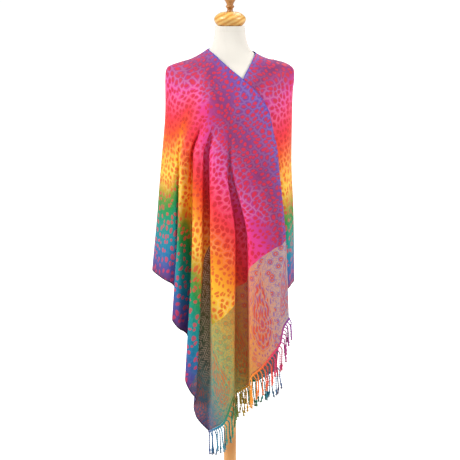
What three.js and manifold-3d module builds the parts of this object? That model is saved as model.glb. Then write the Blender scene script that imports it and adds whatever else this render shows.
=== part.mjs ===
// A fringed shawl worn round the shoulders of a dress form. Millimetres, +Z up, the wearer faces -Y, origin
// on the floor under the middle of the round base. The cloth is one rectangle: it is described by plumb lines,
// the lines in which it hangs, each running from a start on the neck edge, over a bend on the form, to its end
// on the cut edge.
import * as THREE from "three";
import Module from "manifold-3d";

const wasm = await Module();
wasm.setup();

// ---------------------------------------------------------------- driving sizes
const CLOTH = {
  width: 686, // across the shawl, neck edge to hem
  overReach: 940, // centre back to the end that lies on top in front
  underReach: 790, // centre back to the end that lies beneath
  wall: 1.5,
  seamGap: 0.3, // between two stretches of the cloth
  rest: 2.7, // middle of the wall to the form where it lies on it
  lap: 3.4, // and this much more for the end that lies on top
  softness: 5, // how gently the cloth leaves the form
  yokeSag: 0.045, // how far it sags between the neck edge and the bend, as a share of that distance
};
// Steps between two plumb lines, and down them.
const MESH = { perLine: 2, frontRows: 26, underRows: 20, backRows: 18 };
const FRINGE = {
  strands: 44,
  length: 70,
  atNeckEdge: 48, // length of the strand next to the neck edge
  evenFrom: 110, // from here across the cloth all strands have the full length
  strip: 6,
  sides: 3,
  turnDown: 26,
  stagger: 2.6,
};
const FORM = { top: 1522, bottom: 792, squareness: 2.3, segments: 32, shoulders: 1380 };
const POLE = { radius: 18, segments: 24 };
const BASE = { radius: 165, segments: 36 };
const LEVEL = { high: 1180, low: 960 }; // heights at which every plumb line is placed

// ---------------------------------------------------------------- one strand, by share of its length
const STRAND = [
  { at: 0, radius: 0.5 },
  { at: 0.16, radius: 1.4 },
  { at: 0.72, radius: 1.5 },
  { at: 0.8, radius: 2.5 },
  { at: 0.87, radius: 1.5 },
  { at: 1, radius: 2.1 },
];

// ---------------------------------------------------------------- turned wood, from the top down
const FINIAL_PROFILE = [
  { z: 1636, radius: 3 },
  { z: 1634, radius: 7.5 },
  { z: 1628, radius: 12.6 },
  { z: 1618, radius: 16.4 },
  { z: 1606, radius: 17.8 },
  { z: 1597, radius: 17.2 },
  { z: 1590, radius: 14.6 },
  { z: 1584, radius: 10.8 },
  { z: 1580, radius: 9 },
  { z: 1577, radius: 9 },
  { z: 1575.5, radius: 11.2 },
  { z: 1571.5, radius: 11.2 },
  { z: 1570, radius: 8.4 },
  { z: 1565, radius: 7.4 },
  { z: 1562, radius: 8 },
  { z: 1560, radius: 9.6 },
];
const CAP_PROFILE = [
  { z: 1560, radius: 15 },
  { z: 1559, radius: 21 },
  { z: 1556.5, radius: 28 },
  { z: 1552, radius: 35 },
  { z: 1546.5, radius: 40.5 },
  { z: 1541, radius: 43 },
  { z: 1536, radius: 42.5 },
  { z: 1530.5, radius: 40 },
  { z: 1526, radius: 36.5 },
  { z: 1523, radius: 33 },
  { z: 1522, radius: 29 },
];
const POLE_PROFILE = [
  { z: 792, radius: POLE.radius },
  { z: 25, radius: POLE.radius },
];
const BASE_PROFILE = [
  { z: 25, radius: 147 },
  { z: 23, radius: 153 },
  { z: 18, radius: 160 },
  { z: 11, radius: 164 },
  { z: 4, radius: BASE.radius },
  { z: 0, radius: 163 },
];

// ---------------------------------------------------------------- the dress form's sections, by height
const FORM_SECTIONS = [
  { z: 792, side: 118, front: 70, back: 76 },
  { z: 800, side: 134, front: 84, back: 92 },
  { z: 820, side: 142, front: 89, back: 99 },
  { z: 860, side: 146, front: 90, back: 101 },
  { z: 950, side: 136, front: 84, back: 92 },
  { z: 1050, side: 121, front: 76, back: 78 },
  { z: 1130, side: 130, front: 86, back: 82 },
  { z: 1200, side: 144, front: 104, back: 88 },
  { z: 1250, side: 152, front: 112, back: 92 },
  { z: 1300, side: 158, front: 105, back: 94 },
  { z: 1350, side: 166, front: 88, back: 92 },
  { z: 1380, side: 171, front: 76, back: 86 },
  { z: 1396, side: 171, front: 68, back: 80 },
  { z: 1408, side: 167, front: 62, back: 74 },
  { z: 1417, side: 148, front: 58, back: 70 },
  { z: 1427, side: 113, front: 55, back: 66 },
  { z: 1438, side: 83, front: 53, back: 62 },
  { z: 1448, side: 67, front: 51, back: 58 },
  { z: 1458, side: 57, front: 49, back: 55 },
  { z: 1470, side: 50, front: 46, back: 51 },
  { z: 1485, side: 45.5, front: 43, back: 47 },
  { z: 1502, side: 42.5, front: 41, back: 43 },
  { z: 1522, side: 40.5, front: 40, back: 41 },
];

// ---------------------------------------------------------------- neck edge, by length from the centre back
const OVER_EDGE = [
  { s: 0, x: 0, y: 66, z: 1456 },
  { s: 60, x: -44, y: 46, z: 1459 },
  { s: 95, x: -58, y: 12, z: 1459 },
  { s: 140, x: -36, y: -34, z: 1441 },
  { s: 190, x: -4, y: -58, z: 1411 },
  { s: 245, x: 34, y: -78, z: 1382 },
  { s: 320, x: 79, y: -96, z: 1342 },
  { s: 350, x: 95, y: -104, z: 1318 },
  { s: 380, x: 106, y: -110, z: 1292 },
  { s: 422, x: 115, y: -117, z: 1252 },
  { s: 475, x: 126, y: -124, z: 1200 },
  { s: 560, x: 139, y: -130, z: 1120 },
  { s: 640, x: 147, y: -132, z: 1040 },
];
const UNDER_EDGE = [
  { s: 0, x: 0, y: 66, z: 1456 },
  { s: 60, x: 46, y: 46, z: 1453 },
  { s: 97, x: 63, y: 10, z: 1448 },
  { s: 150, x: 55, y: -34, z: 1421 },
  { s: 205, x: 35, y: -72, z: 1383 },
  { s: 265, x: 18, y: -92, z: 1336 },
  { s: 322, x: -1, y: -104, z: 1286 },
  { s: 376, x: -20, y: -112, z: 1236 },
  { s: 470, x: -50, y: -108, z: 1150 },
  { s: 576, x: -76, y: -100, z: 1050 },
];

// ---------------------------------------------------------------- plumb lines
// from: start on the neck edge. turn: degrees round the form to the bend, 0 at the centre back and 180 in
// front. bend: height of the bend. out: how far the bend stands off the form. high and low: where the line
// hangs at those two levels. end: where it ends. cut: the end's place on the cut edge, along the hem from the
// centre back and then up the fringed end.
const W = CLOTH.width;
const OVER = CLOTH.overReach;
const UNDER = CLOTH.underReach;
const OVER_LINES = [
  { name: "centre back", from: 0, turn: 0, bend: 1330,
    high: [0, 106], low: [0, 116], end: [0, 122, 783], cut: 0 },
  { name: "back hollow 1", from: 30, turn: 24, bend: 1332,
    high: [-40, 98], low: [-42, 96], end: [-44, 98, 786], cut: 51 },
  { name: "back flute 1", from: 52, turn: 45, bend: 1340,
    high: [-84, 99], low: [-90, 114], end: [-96, 127, 793], cut: 108 },
  { name: "back hollow 2", from: 68, turn: 60, bend: 1356,
    high: [-124, 80], low: [-131, 82], end: [-136, 86, 804], cut: 160 },
  { name: "back flute 2", from: 82, turn: 76, bend: 1384,
    high: [-157, 56], low: [-172, 70], end: [-181, 84, 820], cut: 210 },
  { name: "arm", from: 95, turn: 92, bend: 1405,
    high: [-184, 2], low: [-207, 10], end: [-219, 14, 844], cut: 262 },
  { name: "arm hollow", from: 103, turn: 108, bend: 1398,
    high: [-172, -46], low: [-188, -40], end: [-198, -40, 838], cut: 306 },
  { name: "arm flap", from: 112, turn: 122, bend: 1362,
    high: [-148, -84], low: [-160, -84], end: [-163, -84, 828], cut: 346 },
  { name: "flap turn", from: 117, turn: 128, bend: 1340,
    high: [-141, -91], low: [-148, -88], end: [-150, -84, 814], cut: 374 },
  { name: "arm tuck", from: 120, turn: 131, bend: 1328,
    high: [-135, -91], low: [-136, -77], end: [-134, -66, 788], cut: 406 },
  { name: "arm tuck side", from: 123, turn: 134, bend: 1316,
    high: [-129, -100], low: [-126, -94], end: [-131, -88, 756], cut: 448 },
  { name: "fourth flute edge", from: 127, turn: 138, bend: 1316,
    high: [-132, -109], low: [-142, -121], end: [-158, -120, 734], cut: 488 },
  { name: "fourth flute", from: 132, turn: 142, bend: 1310,
    high: [-124, -116], low: [-136, -132], end: [-142, -128, 712], cut: 515 },
  { name: "fourth flute side", from: 138, turn: 146, bend: 1304,
    high: [-111, -116], low: [-119, -116], end: [-120, -112, 692], cut: 548 },
  { name: "third hollow", from: 142, turn: 149, bend: 1298,
    high: [-102, -104], low: [-106, -104], end: [-107, -102, 642], cut: 606 },
  { name: "third hollow side", from: 144.5, turn: 150.5, bend: 1295,
    high: [-98, -111], low: [-98, -117], end: [-103, -113, 606], cut: 650 },
  { name: "third flute edge", from: 147, turn: 152, bend: 1292,
    high: [-97, -124], low: [-101, -139], end: [-123, -138, 570], cut: 690 },
  { name: "third flute", from: 152, turn: 155, bend: 1288,
    high: [-86, -133], low: [-90, -150], end: [-110, -146, 538], cut: 736 },
  { name: "third flute side", from: 158, turn: 158, bend: 1284,
    high: [-75, -128], low: [-76, -138], end: [-93, -133, 510], cut: 782 },
  { name: "second hollow", from: 163, turn: 160, bend: 1282,
    high: [-69, -107], low: [-70, -112], end: [-93, -118, 485], cut: 816 },
  { name: "second hollow side", from: 170, turn: 163, bend: 1280,
    high: [-60, -107], low: [-55, -109], end: [-61, -122, 418], cut: OVER },
  { name: "second flute edge", from: 178, turn: 166, bend: 1278,
    high: [-51, -129], low: [-50, -146], end: [-46, -140, 430], cut: OVER + 52 },
  { name: "second flute", from: 190, turn: 171, bend: 1276,
    high: [-33, -138], low: [-20, -155], end: [-20, -150, 450], cut: OVER + 132 },
  { name: "second flute side", from: 205, turn: 177, bend: 1274,
    high: [-15, -134], low: [12, -146], end: [8, -138, 520], cut: OVER + 226 },
  { name: "first hollow", from: 215, turn: 180, bend: 1272,
    high: [-8, -126], low: [17, -109], end: [18, -112, 528], cut: OVER + 266 },
  { name: "first hollow side", from: 228, turn: 184, bend: 1270, out: 3,
    high: [0, -126], low: [43, -109], end: [49, -112, 548], cut: OVER + 346 },
  { name: "first flute edge", from: 245, turn: 188, bend: 1268, out: 6,
    high: [10, -134], low: [50, -147], end: [57, -146, 582], cut: OVER + 386 },
  { name: "first flute", from: 272, turn: 196, bend: 1264, out: 9,
    high: [36, -139], low: [74, -157], end: [86, -156, 612], cut: OVER + 446 },
  { name: "first flute middle", from: 302, turn: 208, bend: 1256, out: 16,
    high: [64, -140], low: [100, -156], end: [112, -153, 646], cut: OVER + 510 },
  { name: "first flute turn", from: 334, turn: 218, bend: 1244, out: 26,
    high: [92, -138], low: [124, -150], end: [134, -146, 676], cut: OVER + 566 },
  { name: "edge flute", from: 358, turn: 221, bend: 1220, out: 40,
    high: [114, -133], low: [140, -142], end: [143, -140, 718], cut: OVER + 628 },
  { name: "free edge", from: 380, turn: 225.5, bend: 1200, out: 52,
    high: [128, -127], low: [150, -134], end: [160, -131, 744], cut: OVER + W },
];
const UNDER_LINES = [
  { name: "back hollow 3", from: 32, turn: 24, bend: 1332,
    high: [44, 99], low: [48, 99], end: [52, 102, 786], cut: 56 },
  { name: "back flute 3", from: 54, turn: 48, bend: 1342,
    high: [92, 95], low: [101, 108], end: [106, 118, 791], cut: 116 },
  { name: "back hollow 4", from: 72, turn: 66, bend: 1362,
    high: [130, 71], low: [139, 69], end: [143, 72, 802], cut: 172 },
  { name: "back flute 4", from: 85, turn: 80, bend: 1388,
    high: [156, 44], low: [166, 50], end: [169, 56, 811], cut: 212 },
  { name: "arm", from: 97, turn: 92, bend: 1402,
    high: [169, 2], low: [178, 8], end: [181, 12, 815], cut: 256 },
  { name: "arm hollow", from: 106, turn: 110, bend: 1391,
    high: [160, -48], low: [168, -44], end: [171, -44, 816], cut: 306 },
  { name: "arm front", from: 118, turn: 128, bend: 1340,
    high: [140, -82], low: [156, -86], end: [160, -82, 812], cut: 350 },
  { name: "side hollow", from: 132, turn: 139, bend: 1300,
    high: [122, -98], low: [138, -94], end: [148, -88, 760], cut: 430 },
  { name: "side flute", from: 150, turn: 145, bend: 1276,
    high: [106, -108], low: [120, -101], end: [140, -98, 690], cut: 540 },
  { name: "corner hollow", from: 170, turn: 149.5, bend: 1264,
    high: [88, -104], low: [104, -95], end: [134, -92, 640], cut: 650 },
  { name: "corner", from: 190, turn: 154, bend: 1258,
    high: [72, -107], low: [90, -98], end: [128, -96, 594], cut: UNDER },
  { name: "under flute 1", from: 215, turn: 159.5, bend: 1252,
    high: [54, -108], low: [68, -100], end: [96, -98, 572], cut: UNDER + 90 },
  { name: "under hollow 1", from: 245, turn: 166, bend: 1250,
    high: [34, -105], low: [44, -94], end: [62, -92, 554], cut: UNDER + 180 },
  { name: "under flute 2", from: 280, turn: 173, bend: 1248,
    high: [14, -108], low: [18, -100], end: [26, -98, 560], cut: UNDER + 280 },
  { name: "under hollow 2", from: 330, turn: 183, bend: 1238,
    high: [-8, -105], low: [-14, -94], end: [-14, -92, 610], cut: UNDER + 390 },
  { name: "under flute 3", from: 400, turn: 197, bend: 1190, out: 8,
    high: [-36, -107], low: [-44, -99], end: [-46, -93, 680], cut: UNDER + 500 },
  { name: "under hollow 3", from: 480, turn: 210, bend: 1085, out: 32,
    high: [-61, -102], low: [-67, -92], end: [-71, -88, 766], cut: UNDER + 600 },
  { name: "free edge", from: 576, turn: 219, bend: 1000, out: 32,
    high: [-83, -96], low: [-86, -92], end: [-94, -87, 840], cut: UNDER + W },
];

// ---------------------------------------------------------------- curves through a table's rows
// The value at `at` of the smooth curve through (knots[i], values[i]), which never swings past its values.
function curveAt(knots, values, at) {
  const last = knots.length - 1;
  let i = 0;
  while (i < last - 1 && at > knots[i + 1]) i++;
  const slope = (k) => (values[k + 1] - values[k]) / (knots[k + 1] - knots[k]);
  const tangent = (k) => {
    if (k === 0) return slope(0);
    if (k === last) return slope(last - 1);
    const before = slope(k - 1);
    const after = slope(k);
    return before * after <= 0 ? 0 : (2 * before * after) / (before + after);
  };
  const span = knots[i + 1] - knots[i];
  const f = Math.min(1, Math.max(0, (at - knots[i]) / span));
  const f2 = f * f;
  const f3 = f2 * f;
  return (
    (2 * f3 - 3 * f2 + 1) * values[i] +
    (f3 - 2 * f2 + f) * span * tangent(i) +
    (3 * f2 - 2 * f3) * values[i + 1] +
    (f3 - f2) * span * tangent(i + 1)
  );
}

// The lengths along a chain of points at which each of them lies.
function runningLength(points) {
  const sums = [0];
  for (let i = 1; i < points.length; i++) {
    sums.push(sums[i - 1] + Math.max(1, points[i].distanceTo(points[i - 1])));
  }
  return sums;
}

// The point at share `at` of the way along the smooth curve through `points`.
function alongPoints(points, at) {
  const knots = runningLength(points);
  const where = at * knots.at(-1);
  const value = (axis) => curveAt(knots, points.map((p) => p[axis]), where);
  return new THREE.Vector3(value("x"), value("y"), value("z"));
}

// ---------------------------------------------------------------- solids through rings of points
function solidGeometry(points, faces) {
  const geometry = new THREE.BufferGeometry();
  const numbers = points.flatMap((p) => [p.x, p.y, p.z]);
  geometry.setAttribute("position", new THREE.Float32BufferAttribute(numbers, 3));
  geometry.setIndex(faces.flat());
  return geometry;
}

// A solid through rings of equally many points, listed from the top down, with flat ends.
function closedLoft(rings) {
  const around = rings[0].length;
  const middle = (ring) => ring.reduce((sum, p) => sum.add(p), new THREE.Vector3()).divideScalar(around);
  const points = [...rings.flat(), middle(rings[0]), middle(rings.at(-1))];
  const [topHub, bottomHub] = [points.length - 2, points.length - 1];
  const bottom = rings.length - 1;
  const at = (ring, k) => ring * around + (k % around);
  const faces = [];
  for (let k = 0; k < around; k++) {
    faces.push([topHub, at(0, k), at(0, k + 1)]);
    faces.push([bottomHub, at(bottom, k + 1), at(bottom, k)]);
    for (let ring = 0; ring < bottom; ring++) {
      faces.push([at(ring, k), at(ring + 1, k), at(ring + 1, k + 1)]);
      faces.push([at(ring, k), at(ring + 1, k + 1), at(ring, k + 1)]);
    }
  }
  return solidGeometry(points, faces);
}

function turned(profile, segments) {
  const ring = ({ z, radius }) =>
    Array.from({ length: segments }, (_, k) => {
      const angle = (2 * Math.PI * k) / segments;
      return new THREE.Vector3(radius * Math.cos(angle), radius * Math.sin(angle), z);
    });
  return closedLoft(profile.map(ring));
}

// ---------------------------------------------------------------- the dress form
const formKnots = FORM_SECTIONS.map((row) => row.z);

function formSize(column, z) {
  const height = THREE.MathUtils.clamp(z, FORM.bottom, FORM.top);
  return curveAt(formKnots, FORM_SECTIONS.map((row) => row[column]), height);
}

// How far out a place is, as a share of the form's surface at that height: 1 on the surface, more outside.
function formShare(p) {
  const side = Math.abs(p.x) / formSize("side", p.z);
  const deep = Math.abs(p.y) / formSize(p.y < 0 ? "front" : "back", p.z);
  return Math.pow(side ** FORM.squareness + deep ** FORM.squareness, 1 / FORM.squareness);
}

// The form's surface at `turn` degrees round from the centre back, or a place `out` mm off it.
function formPoint(turn, z, out = 0) {
  const angle = THREE.MathUtils.degToRad(turn);
  const ray = new THREE.Vector3(-Math.sin(angle), Math.cos(angle), z);
  const reach = 1 / formShare(ray) + out;
  return new THREE.Vector3(ray.x * reach, ray.y * reach, z);
}

// Moves a place out of the form until it has `room` to it, gently where it is nearly clear.
function clearOfForm(p, room) {
  const step = 1;
  const slopeAlong = (axis) => {
    const ahead = p.clone();
    const behind = p.clone();
    ahead[axis] += step;
    behind[axis] -= step;
    return (formShare(ahead) - formShare(behind)) / (2 * step);
  };
  const slope = new THREE.Vector3(slopeAlong("x"), slopeAlong("y"), slopeAlong("z"));
  const steepness = slope.length();
  const short = room - (formShare(p) - 1) / steepness;
  const push = (short + Math.hypot(short, CLOTH.softness)) / 2;
  return p.clone().addScaledVector(slope, push / steepness);
}

function makeForm() {
  const heights = [];
  for (let z = FORM.top; z > FORM.shoulders; z -= 11) heights.push(z);
  for (let z = FORM.shoulders - 8; z > 830; z -= 42) heights.push(z);
  heights.push(812, 800, FORM.bottom);
  const ring = (z) =>
    Array.from({ length: FORM.segments }, (_, k) => formPoint((360 * k) / FORM.segments, z));
  return closedLoft(heights.map(ring));
}

// ---------------------------------------------------------------- the drape
// Both sides in one run of plumb lines, from the free edge beneath, round the back, to the free edge on top.
// Places on the flat cloth are negative on the side beneath.
const beneath = ({ from, turn, cut, ...rest }) => ({ ...rest, from: -from, turn: -turn, cut: -cut });
const LINES = [...UNDER_LINES.map(beneath).reverse(), ...OVER_LINES];
const EDGE = [...UNDER_EDGE.slice(1).map((row) => ({ ...row, s: -row.s })).reverse(), ...OVER_EDGE];

const across = LINES.map((line) => new THREE.Vector3(line.low[0], line.low[1], 0));
const lineKnots = runningLength(across);
const edgeKnots = EDGE.map((row) => row.s);
const underLine = (name) => lineKnots[LINES.findIndex((line) => line.name === name)];
const overLine = (name) => lineKnots[LINES.findLastIndex((line) => line.name === name)];
const PLACE = {
  underEdge: underLine("free edge"),
  underTip: underLine("corner"),
  underArm: underLine("arm"),
  overArm: overLine("arm"),
  overTip: overLine("second hollow side"),
  overEdge: overLine("free edge"),
  lapStart: overLine("arm flap"),
  lapFull: overLine("third hollow"),
};

const lineValue = (read, u) => curveAt(lineKnots, LINES.map(read), u);
const edgeValue = (axis, s) => curveAt(edgeKnots, EDGE.map((row) => row[axis]), s);

// The places that plumb line u runs through.
function plumbLine(u) {
  const from = lineValue((line) => line.from, u);
  const start = new THREE.Vector3(edgeValue("x", from), edgeValue("y", from), edgeValue("z", from));
  const turn = lineValue((line) => line.turn, u);
  const bend = formPoint(turn, lineValue((line) => line.bend, u), lineValue((line) => line.out ?? 0, u));
  const yoke = start.clone().lerp(bend, 0.5);
  yoke.z -= CLOTH.yokeSag * Math.hypot(bend.x - start.x, bend.y - start.y);
  const high = new THREE.Vector3(
    lineValue((line) => line.high[0], u),
    lineValue((line) => line.high[1], u),
    Math.min(LEVEL.high, bend.z - 25),
  );
  const low = new THREE.Vector3(
    lineValue((line) => line.low[0], u),
    lineValue((line) => line.low[1], u),
    Math.min(LEVEL.low, high.z - 25),
  );
  const end = new THREE.Vector3(
    lineValue((line) => line.end[0], u),
    lineValue((line) => line.end[1], u),
    lineValue((line) => line.end[2], u),
  );
  return [start, yoke, bend, high, low, end];
}

// The middle of the cloth at plumb line u, share v of the way down it.
function clothPoint(u, v) {
  const lap = THREE.MathUtils.smoothstep(u, PLACE.lapStart, PLACE.lapFull);
  return clearOfForm(alongPoints(plumbLine(u), v), CLOTH.rest + CLOTH.lap * lap);
}

// The same place on the flat cloth: x along it from the centre back, y across it from the neck edge.
function flatPoint(u, v) {
  const from = lineValue((line) => line.from, u);
  const cut = lineValue((line) => line.cut, u);
  const reach = cut < 0 ? UNDER : OVER;
  const alongHem = Math.abs(cut) <= reach;
  const end = alongHem
    ? new THREE.Vector2(cut, W)
    : new THREE.Vector2(Math.sign(cut) * reach, W - (Math.abs(cut) - reach));
  return new THREE.Vector2(from, 0).lerp(end, v);
}

// ---------------------------------------------------------------- the cloth's wall
// Which way the cloth faces at (u, v), away from the form.
function clothNormal(u, v) {
  const du = 0.5;
  const dv = 0.004;
  const alongU = clothPoint(Math.min(u + du, PLACE.overEdge), v).sub(clothPoint(Math.max(u - du, 0), v));
  const alongV = clothPoint(u, Math.min(v + dv, 1)).sub(clothPoint(u, Math.max(v - dv, 0)));
  return alongV.cross(alongU).normalize();
}

// Places across the cloth from one plumb line to another, a few to each gap between the table's lines.
function placesAcross(from, to, perLine) {
  const within = lineKnots.filter((knot) => knot >= from && knot <= to);
  const places = [];
  for (let i = 0; i < within.length - 1; i++) {
    for (let k = 0; k < perLine; k++) {
      places.push(THREE.MathUtils.lerp(within[i], within[i + 1], k / perLine));
    }
  }
  return [...places, to];
}

// Shares of the way down plumb line u for `rows` rows, close together where it bends over the form.
const CLOSE_ROWS = { from: 0.2, to: 0.52, above: 0.3, below: 0.07 };

function rowShare(u, row) {
  const lengths = runningLength(plumbLine(u));
  const bend = lengths[2] / lengths.at(-1);
  const rows = [0, CLOSE_ROWS.from, CLOSE_ROWS.to, 1];
  const shares = [0, bend * (1 - CLOSE_ROWS.above), bend + CLOSE_ROWS.below, 1];
  let i = 0;
  while (i < 2 && row > rows[i + 1]) i++;
  return THREE.MathUtils.mapLinear(row, rows[i], rows[i + 1], shares[i], shares[i + 1]);
}

// One stretch of the shawl: the sheet of places, moved half the wall out and half the wall in, closed round
// its rim.
function makeStretch(from, to, rows) {
  const us = placesAcross(from, to, MESH.perLine);
  const columns = us.map((u, i) => {
    const inward = i === 0 ? 1 : i === us.length - 1 ? -1 : 0;
    return Array.from({ length: rows + 1 }, (_, j) => {
      const v = rowShare(u, j / rows);
      const middle = clothPoint(u, v);
      if (inward !== 0) {
        const towards = clothPoint(us[i + inward], rowShare(us[i + inward], j / rows)).sub(middle);
        middle.addScaledVector(towards.normalize(), CLOTH.seamGap / 2);
      }
      const half = clothNormal(u, v).multiplyScalar(CLOTH.wall / 2);
      return { outer: middle.clone().add(half), inner: middle.clone().sub(half) };
    });
  });
  return closedSheet(columns);
}

// A thin solid between the outer and inner points of a grid of columns.
function closedSheet(columns) {
  const rows = columns[0].length;
  const cells = columns.flat();
  const points = [...cells.map((cell) => cell.outer), ...cells.map((cell) => cell.inner)];
  const outer = (i, j) => i * rows + j;
  const inner = (i, j) => cells.length + i * rows + j;
  const faces = [];
  const quad = (a, b, c, d) => faces.push([a, b, c], [a, c, d]);
  const lastColumn = columns.length - 1;
  const lastRow = rows - 1;
  for (let i = 0; i < lastColumn; i++) {
    for (let j = 0; j < lastRow; j++) {
      quad(outer(i, j), outer(i, j + 1), outer(i + 1, j + 1), outer(i + 1, j));
      quad(inner(i, j), inner(i + 1, j), inner(i + 1, j + 1), inner(i, j + 1));
    }
    quad(outer(i, 0), outer(i + 1, 0), inner(i + 1, 0), inner(i, 0));
    quad(outer(i, lastRow), inner(i, lastRow), inner(i + 1, lastRow), outer(i + 1, lastRow));
  }
  for (let j = 0; j < lastRow; j++) {
    quad(outer(0, j), inner(0, j), inner(0, j + 1), outer(0, j + 1));
    quad(outer(lastColumn, j), outer(lastColumn, j + 1), inner(lastColumn, j + 1), inner(lastColumn, j));
  }
  return solidGeometry(points, faces);
}

// ---------------------------------------------------------------- fringe
// The fringed end of a side, as a chain of places: t is the place across the cloth, out points off the cut
// edge in the sheet of the cloth.
function cutEnd(over) {
  const [from, to] = over ? [PLACE.overTip, PLACE.overEdge] : [PLACE.underEdge, PLACE.underTip];
  const us = placesAcross(from, to, MESH.perLine);
  const places = us.map((u) => clothPoint(u, 1));
  return us.map((u, i) => {
    const before = places[Math.max(i - 1, 0)];
    const after = places[Math.min(i + 1, us.length - 1)];
    const normal = clothNormal(u, 1);
    const out = after.clone().sub(before).cross(normal).normalize();
    return { place: places[i], normal, out, t: flatPoint(u, 1).y };
  });
}

// The narrow strip at a cut end in which the strands are rooted, set off from the cloth by the seam's gap.
function fringeStrip(chain) {
  const columns = chain.map(({ place, normal, out }) => {
    const half = normal.clone().multiplyScalar(CLOTH.wall / 2);
    return [CLOTH.seamGap, CLOTH.seamGap + FRINGE.strip].map((away) => {
      const middle = place.clone().addScaledVector(out, away);
      return { outer: middle.clone().add(half), inner: middle.clone().sub(half) };
    });
  });
  return closedSheet(columns);
}

// The chain's values at place t across the cloth.
function chainAt(chain, t) {
  const rising = chain[0].t < chain.at(-1).t;
  let i = 0;
  while (i < chain.length - 2 && (rising ? t > chain[i + 1].t : t < chain[i + 1].t)) i++;
  const [a, b] = [chain[i], chain[i + 1]];
  const f = (t - a.t) / (b.t - a.t);
  const between = (key) => a[key].clone().lerp(b[key], f);
  const [normal, out] = [between("normal").normalize(), between("out").normalize()];
  return { place: between("place"), normal, out };
}

// A strand leaves the strip and soon hangs down; every other one stands a little in front.
function fringeStrand(chain, index) {
  const t = (W * (index + 0.5)) / FRINGE.strands;
  const total = THREE.MathUtils.lerp(FRINGE.atNeckEdge, FRINGE.length, Math.min(1, t / FRINGE.evenFrom));
  const { place, normal, out } = chainAt(chain, t);
  const down = new THREE.Vector3(0, 0, -1);
  const stagger = index % 2 ? FRINGE.stagger : -FRINGE.stagger;
  const heading = (length) => {
    const turn = THREE.MathUtils.smoothstep(length, 0, FRINGE.turnDown);
    return { turn, along: out.clone().lerp(down, turn).normalize() };
  };
  const spot = place.addScaledVector(out, CLOTH.seamGap + FRINGE.strip / 2);
  const rings = [];
  let reached = 0;
  for (const { at, radius } of STRAND) {
    for (; reached < at * total; reached++) spot.add(heading(reached).along);
    const { turn, along } = heading(reached);
    const e1 = new THREE.Vector3(1, 0, 0).cross(along).normalize();
    const e2 = e1.clone().cross(along);
    const centre = spot.clone().addScaledVector(normal, stagger * turn);
    const corner = (_, k) => {
      const angle = (2 * Math.PI * k) / FRINGE.sides;
      const offset = e1.clone().multiplyScalar(Math.cos(angle)).addScaledVector(e2, Math.sin(angle));
      return centre.clone().addScaledVector(offset, radius);
    };
    rings.push(Array.from({ length: FRINGE.sides }, corner));
  }
  return closedLoft(rings);
}

const asManifold = (geometry) => {
  const vertProperties = new Float32Array(geometry.attributes.position.array);
  const triVerts = new Uint32Array(geometry.index.array);
  return new wasm.Manifold(new wasm.Mesh({ numProp: 3, vertProperties, triVerts }));
};

// Strip and strands fused into one body.
function makeFringe(over) {
  const chain = cutEnd(over);
  let joined = asManifold(fringeStrip(chain));
  for (let index = 0; index < FRINGE.strands; index++) {
    joined = joined.add(asManifold(fringeStrand(chain, index)));
  }
  const mesh = joined.getMesh();
  const geometry = new THREE.BufferGeometry();
  geometry.setAttribute("position", new THREE.BufferAttribute(mesh.vertProperties, 3));
  geometry.setIndex(new THREE.BufferAttribute(mesh.triVerts, 1));
  return geometry;
}

// ---------------------------------------------------------------- the pieces
function piece(name, geometry, colour, roughness) {
  const material = new THREE.MeshStandardMaterial({ color: colour, roughness, metalness: 0 });
  const mesh = new THREE.Mesh(geometry, material);
  mesh.name = name;
  return mesh;
}

const root = new THREE.Group();
root.add(
  piece("torso_form", makeForm(), 0xf1ede2, 0.9),
  piece("neck_cap", turned(CAP_PROFILE, POLE.segments), 0xd9a352, 0.45),
  piece("finial", turned(FINIAL_PROFILE, 16), 0xa86f36, 0.45),
  piece("pole", turned(POLE_PROFILE, POLE.segments), 0xc98d4c, 0.5),
  piece("base", turned(BASE_PROFILE, BASE.segments), 0xb87d40, 0.5),
  piece("shawl_back", makeStretch(PLACE.underArm, PLACE.overArm, MESH.backRows), 0x9a4aa0, 0.75),
  piece("shawl_over_front", makeStretch(PLACE.overArm, PLACE.overEdge, MESH.frontRows), 0xc4408c, 0.75),
  piece("shawl_under_front", makeStretch(PLACE.underEdge, PLACE.underArm, MESH.underRows), 0xd0562e, 0.75),
  piece("fringe_over", makeFringe(true), 0xb79a3a, 0.8),
  piece("fringe_under", makeFringe(false), 0x2f8f96, 0.8),
);
export default root;
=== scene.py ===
"""A fringed jacquard shawl worn round a dress form on a turned wooden stand.

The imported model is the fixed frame. The shawl is one woven rectangle. It hangs in plumb lines, each of which
runs from a start on the neck edge, over a bend on the form, to its end on the cut edge. Tables are in
millimetres.
"""

import logging
import math
from dataclasses import dataclass, field, replace
from enum import Enum
from typing import NamedTuple, Sequence

import bmesh
import bpy
import numpy as np
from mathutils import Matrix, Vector


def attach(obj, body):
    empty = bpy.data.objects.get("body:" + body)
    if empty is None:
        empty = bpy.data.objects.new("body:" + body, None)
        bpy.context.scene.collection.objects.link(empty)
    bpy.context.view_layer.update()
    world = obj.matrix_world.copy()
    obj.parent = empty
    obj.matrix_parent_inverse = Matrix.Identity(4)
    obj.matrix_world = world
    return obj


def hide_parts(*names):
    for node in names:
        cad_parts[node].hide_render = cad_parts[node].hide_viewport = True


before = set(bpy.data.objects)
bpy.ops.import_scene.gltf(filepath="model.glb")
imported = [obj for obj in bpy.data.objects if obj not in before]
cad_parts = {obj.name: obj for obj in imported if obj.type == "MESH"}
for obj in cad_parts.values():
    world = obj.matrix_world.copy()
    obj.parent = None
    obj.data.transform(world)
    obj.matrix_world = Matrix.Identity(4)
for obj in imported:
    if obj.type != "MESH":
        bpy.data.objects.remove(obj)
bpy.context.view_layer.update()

MM = 0.001
CLOTH_WIDTH = 686.0
OVER_REACH = 940.0
UNDER_REACH = 790.0
FLAT_MAP = "flat_cloth"
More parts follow.
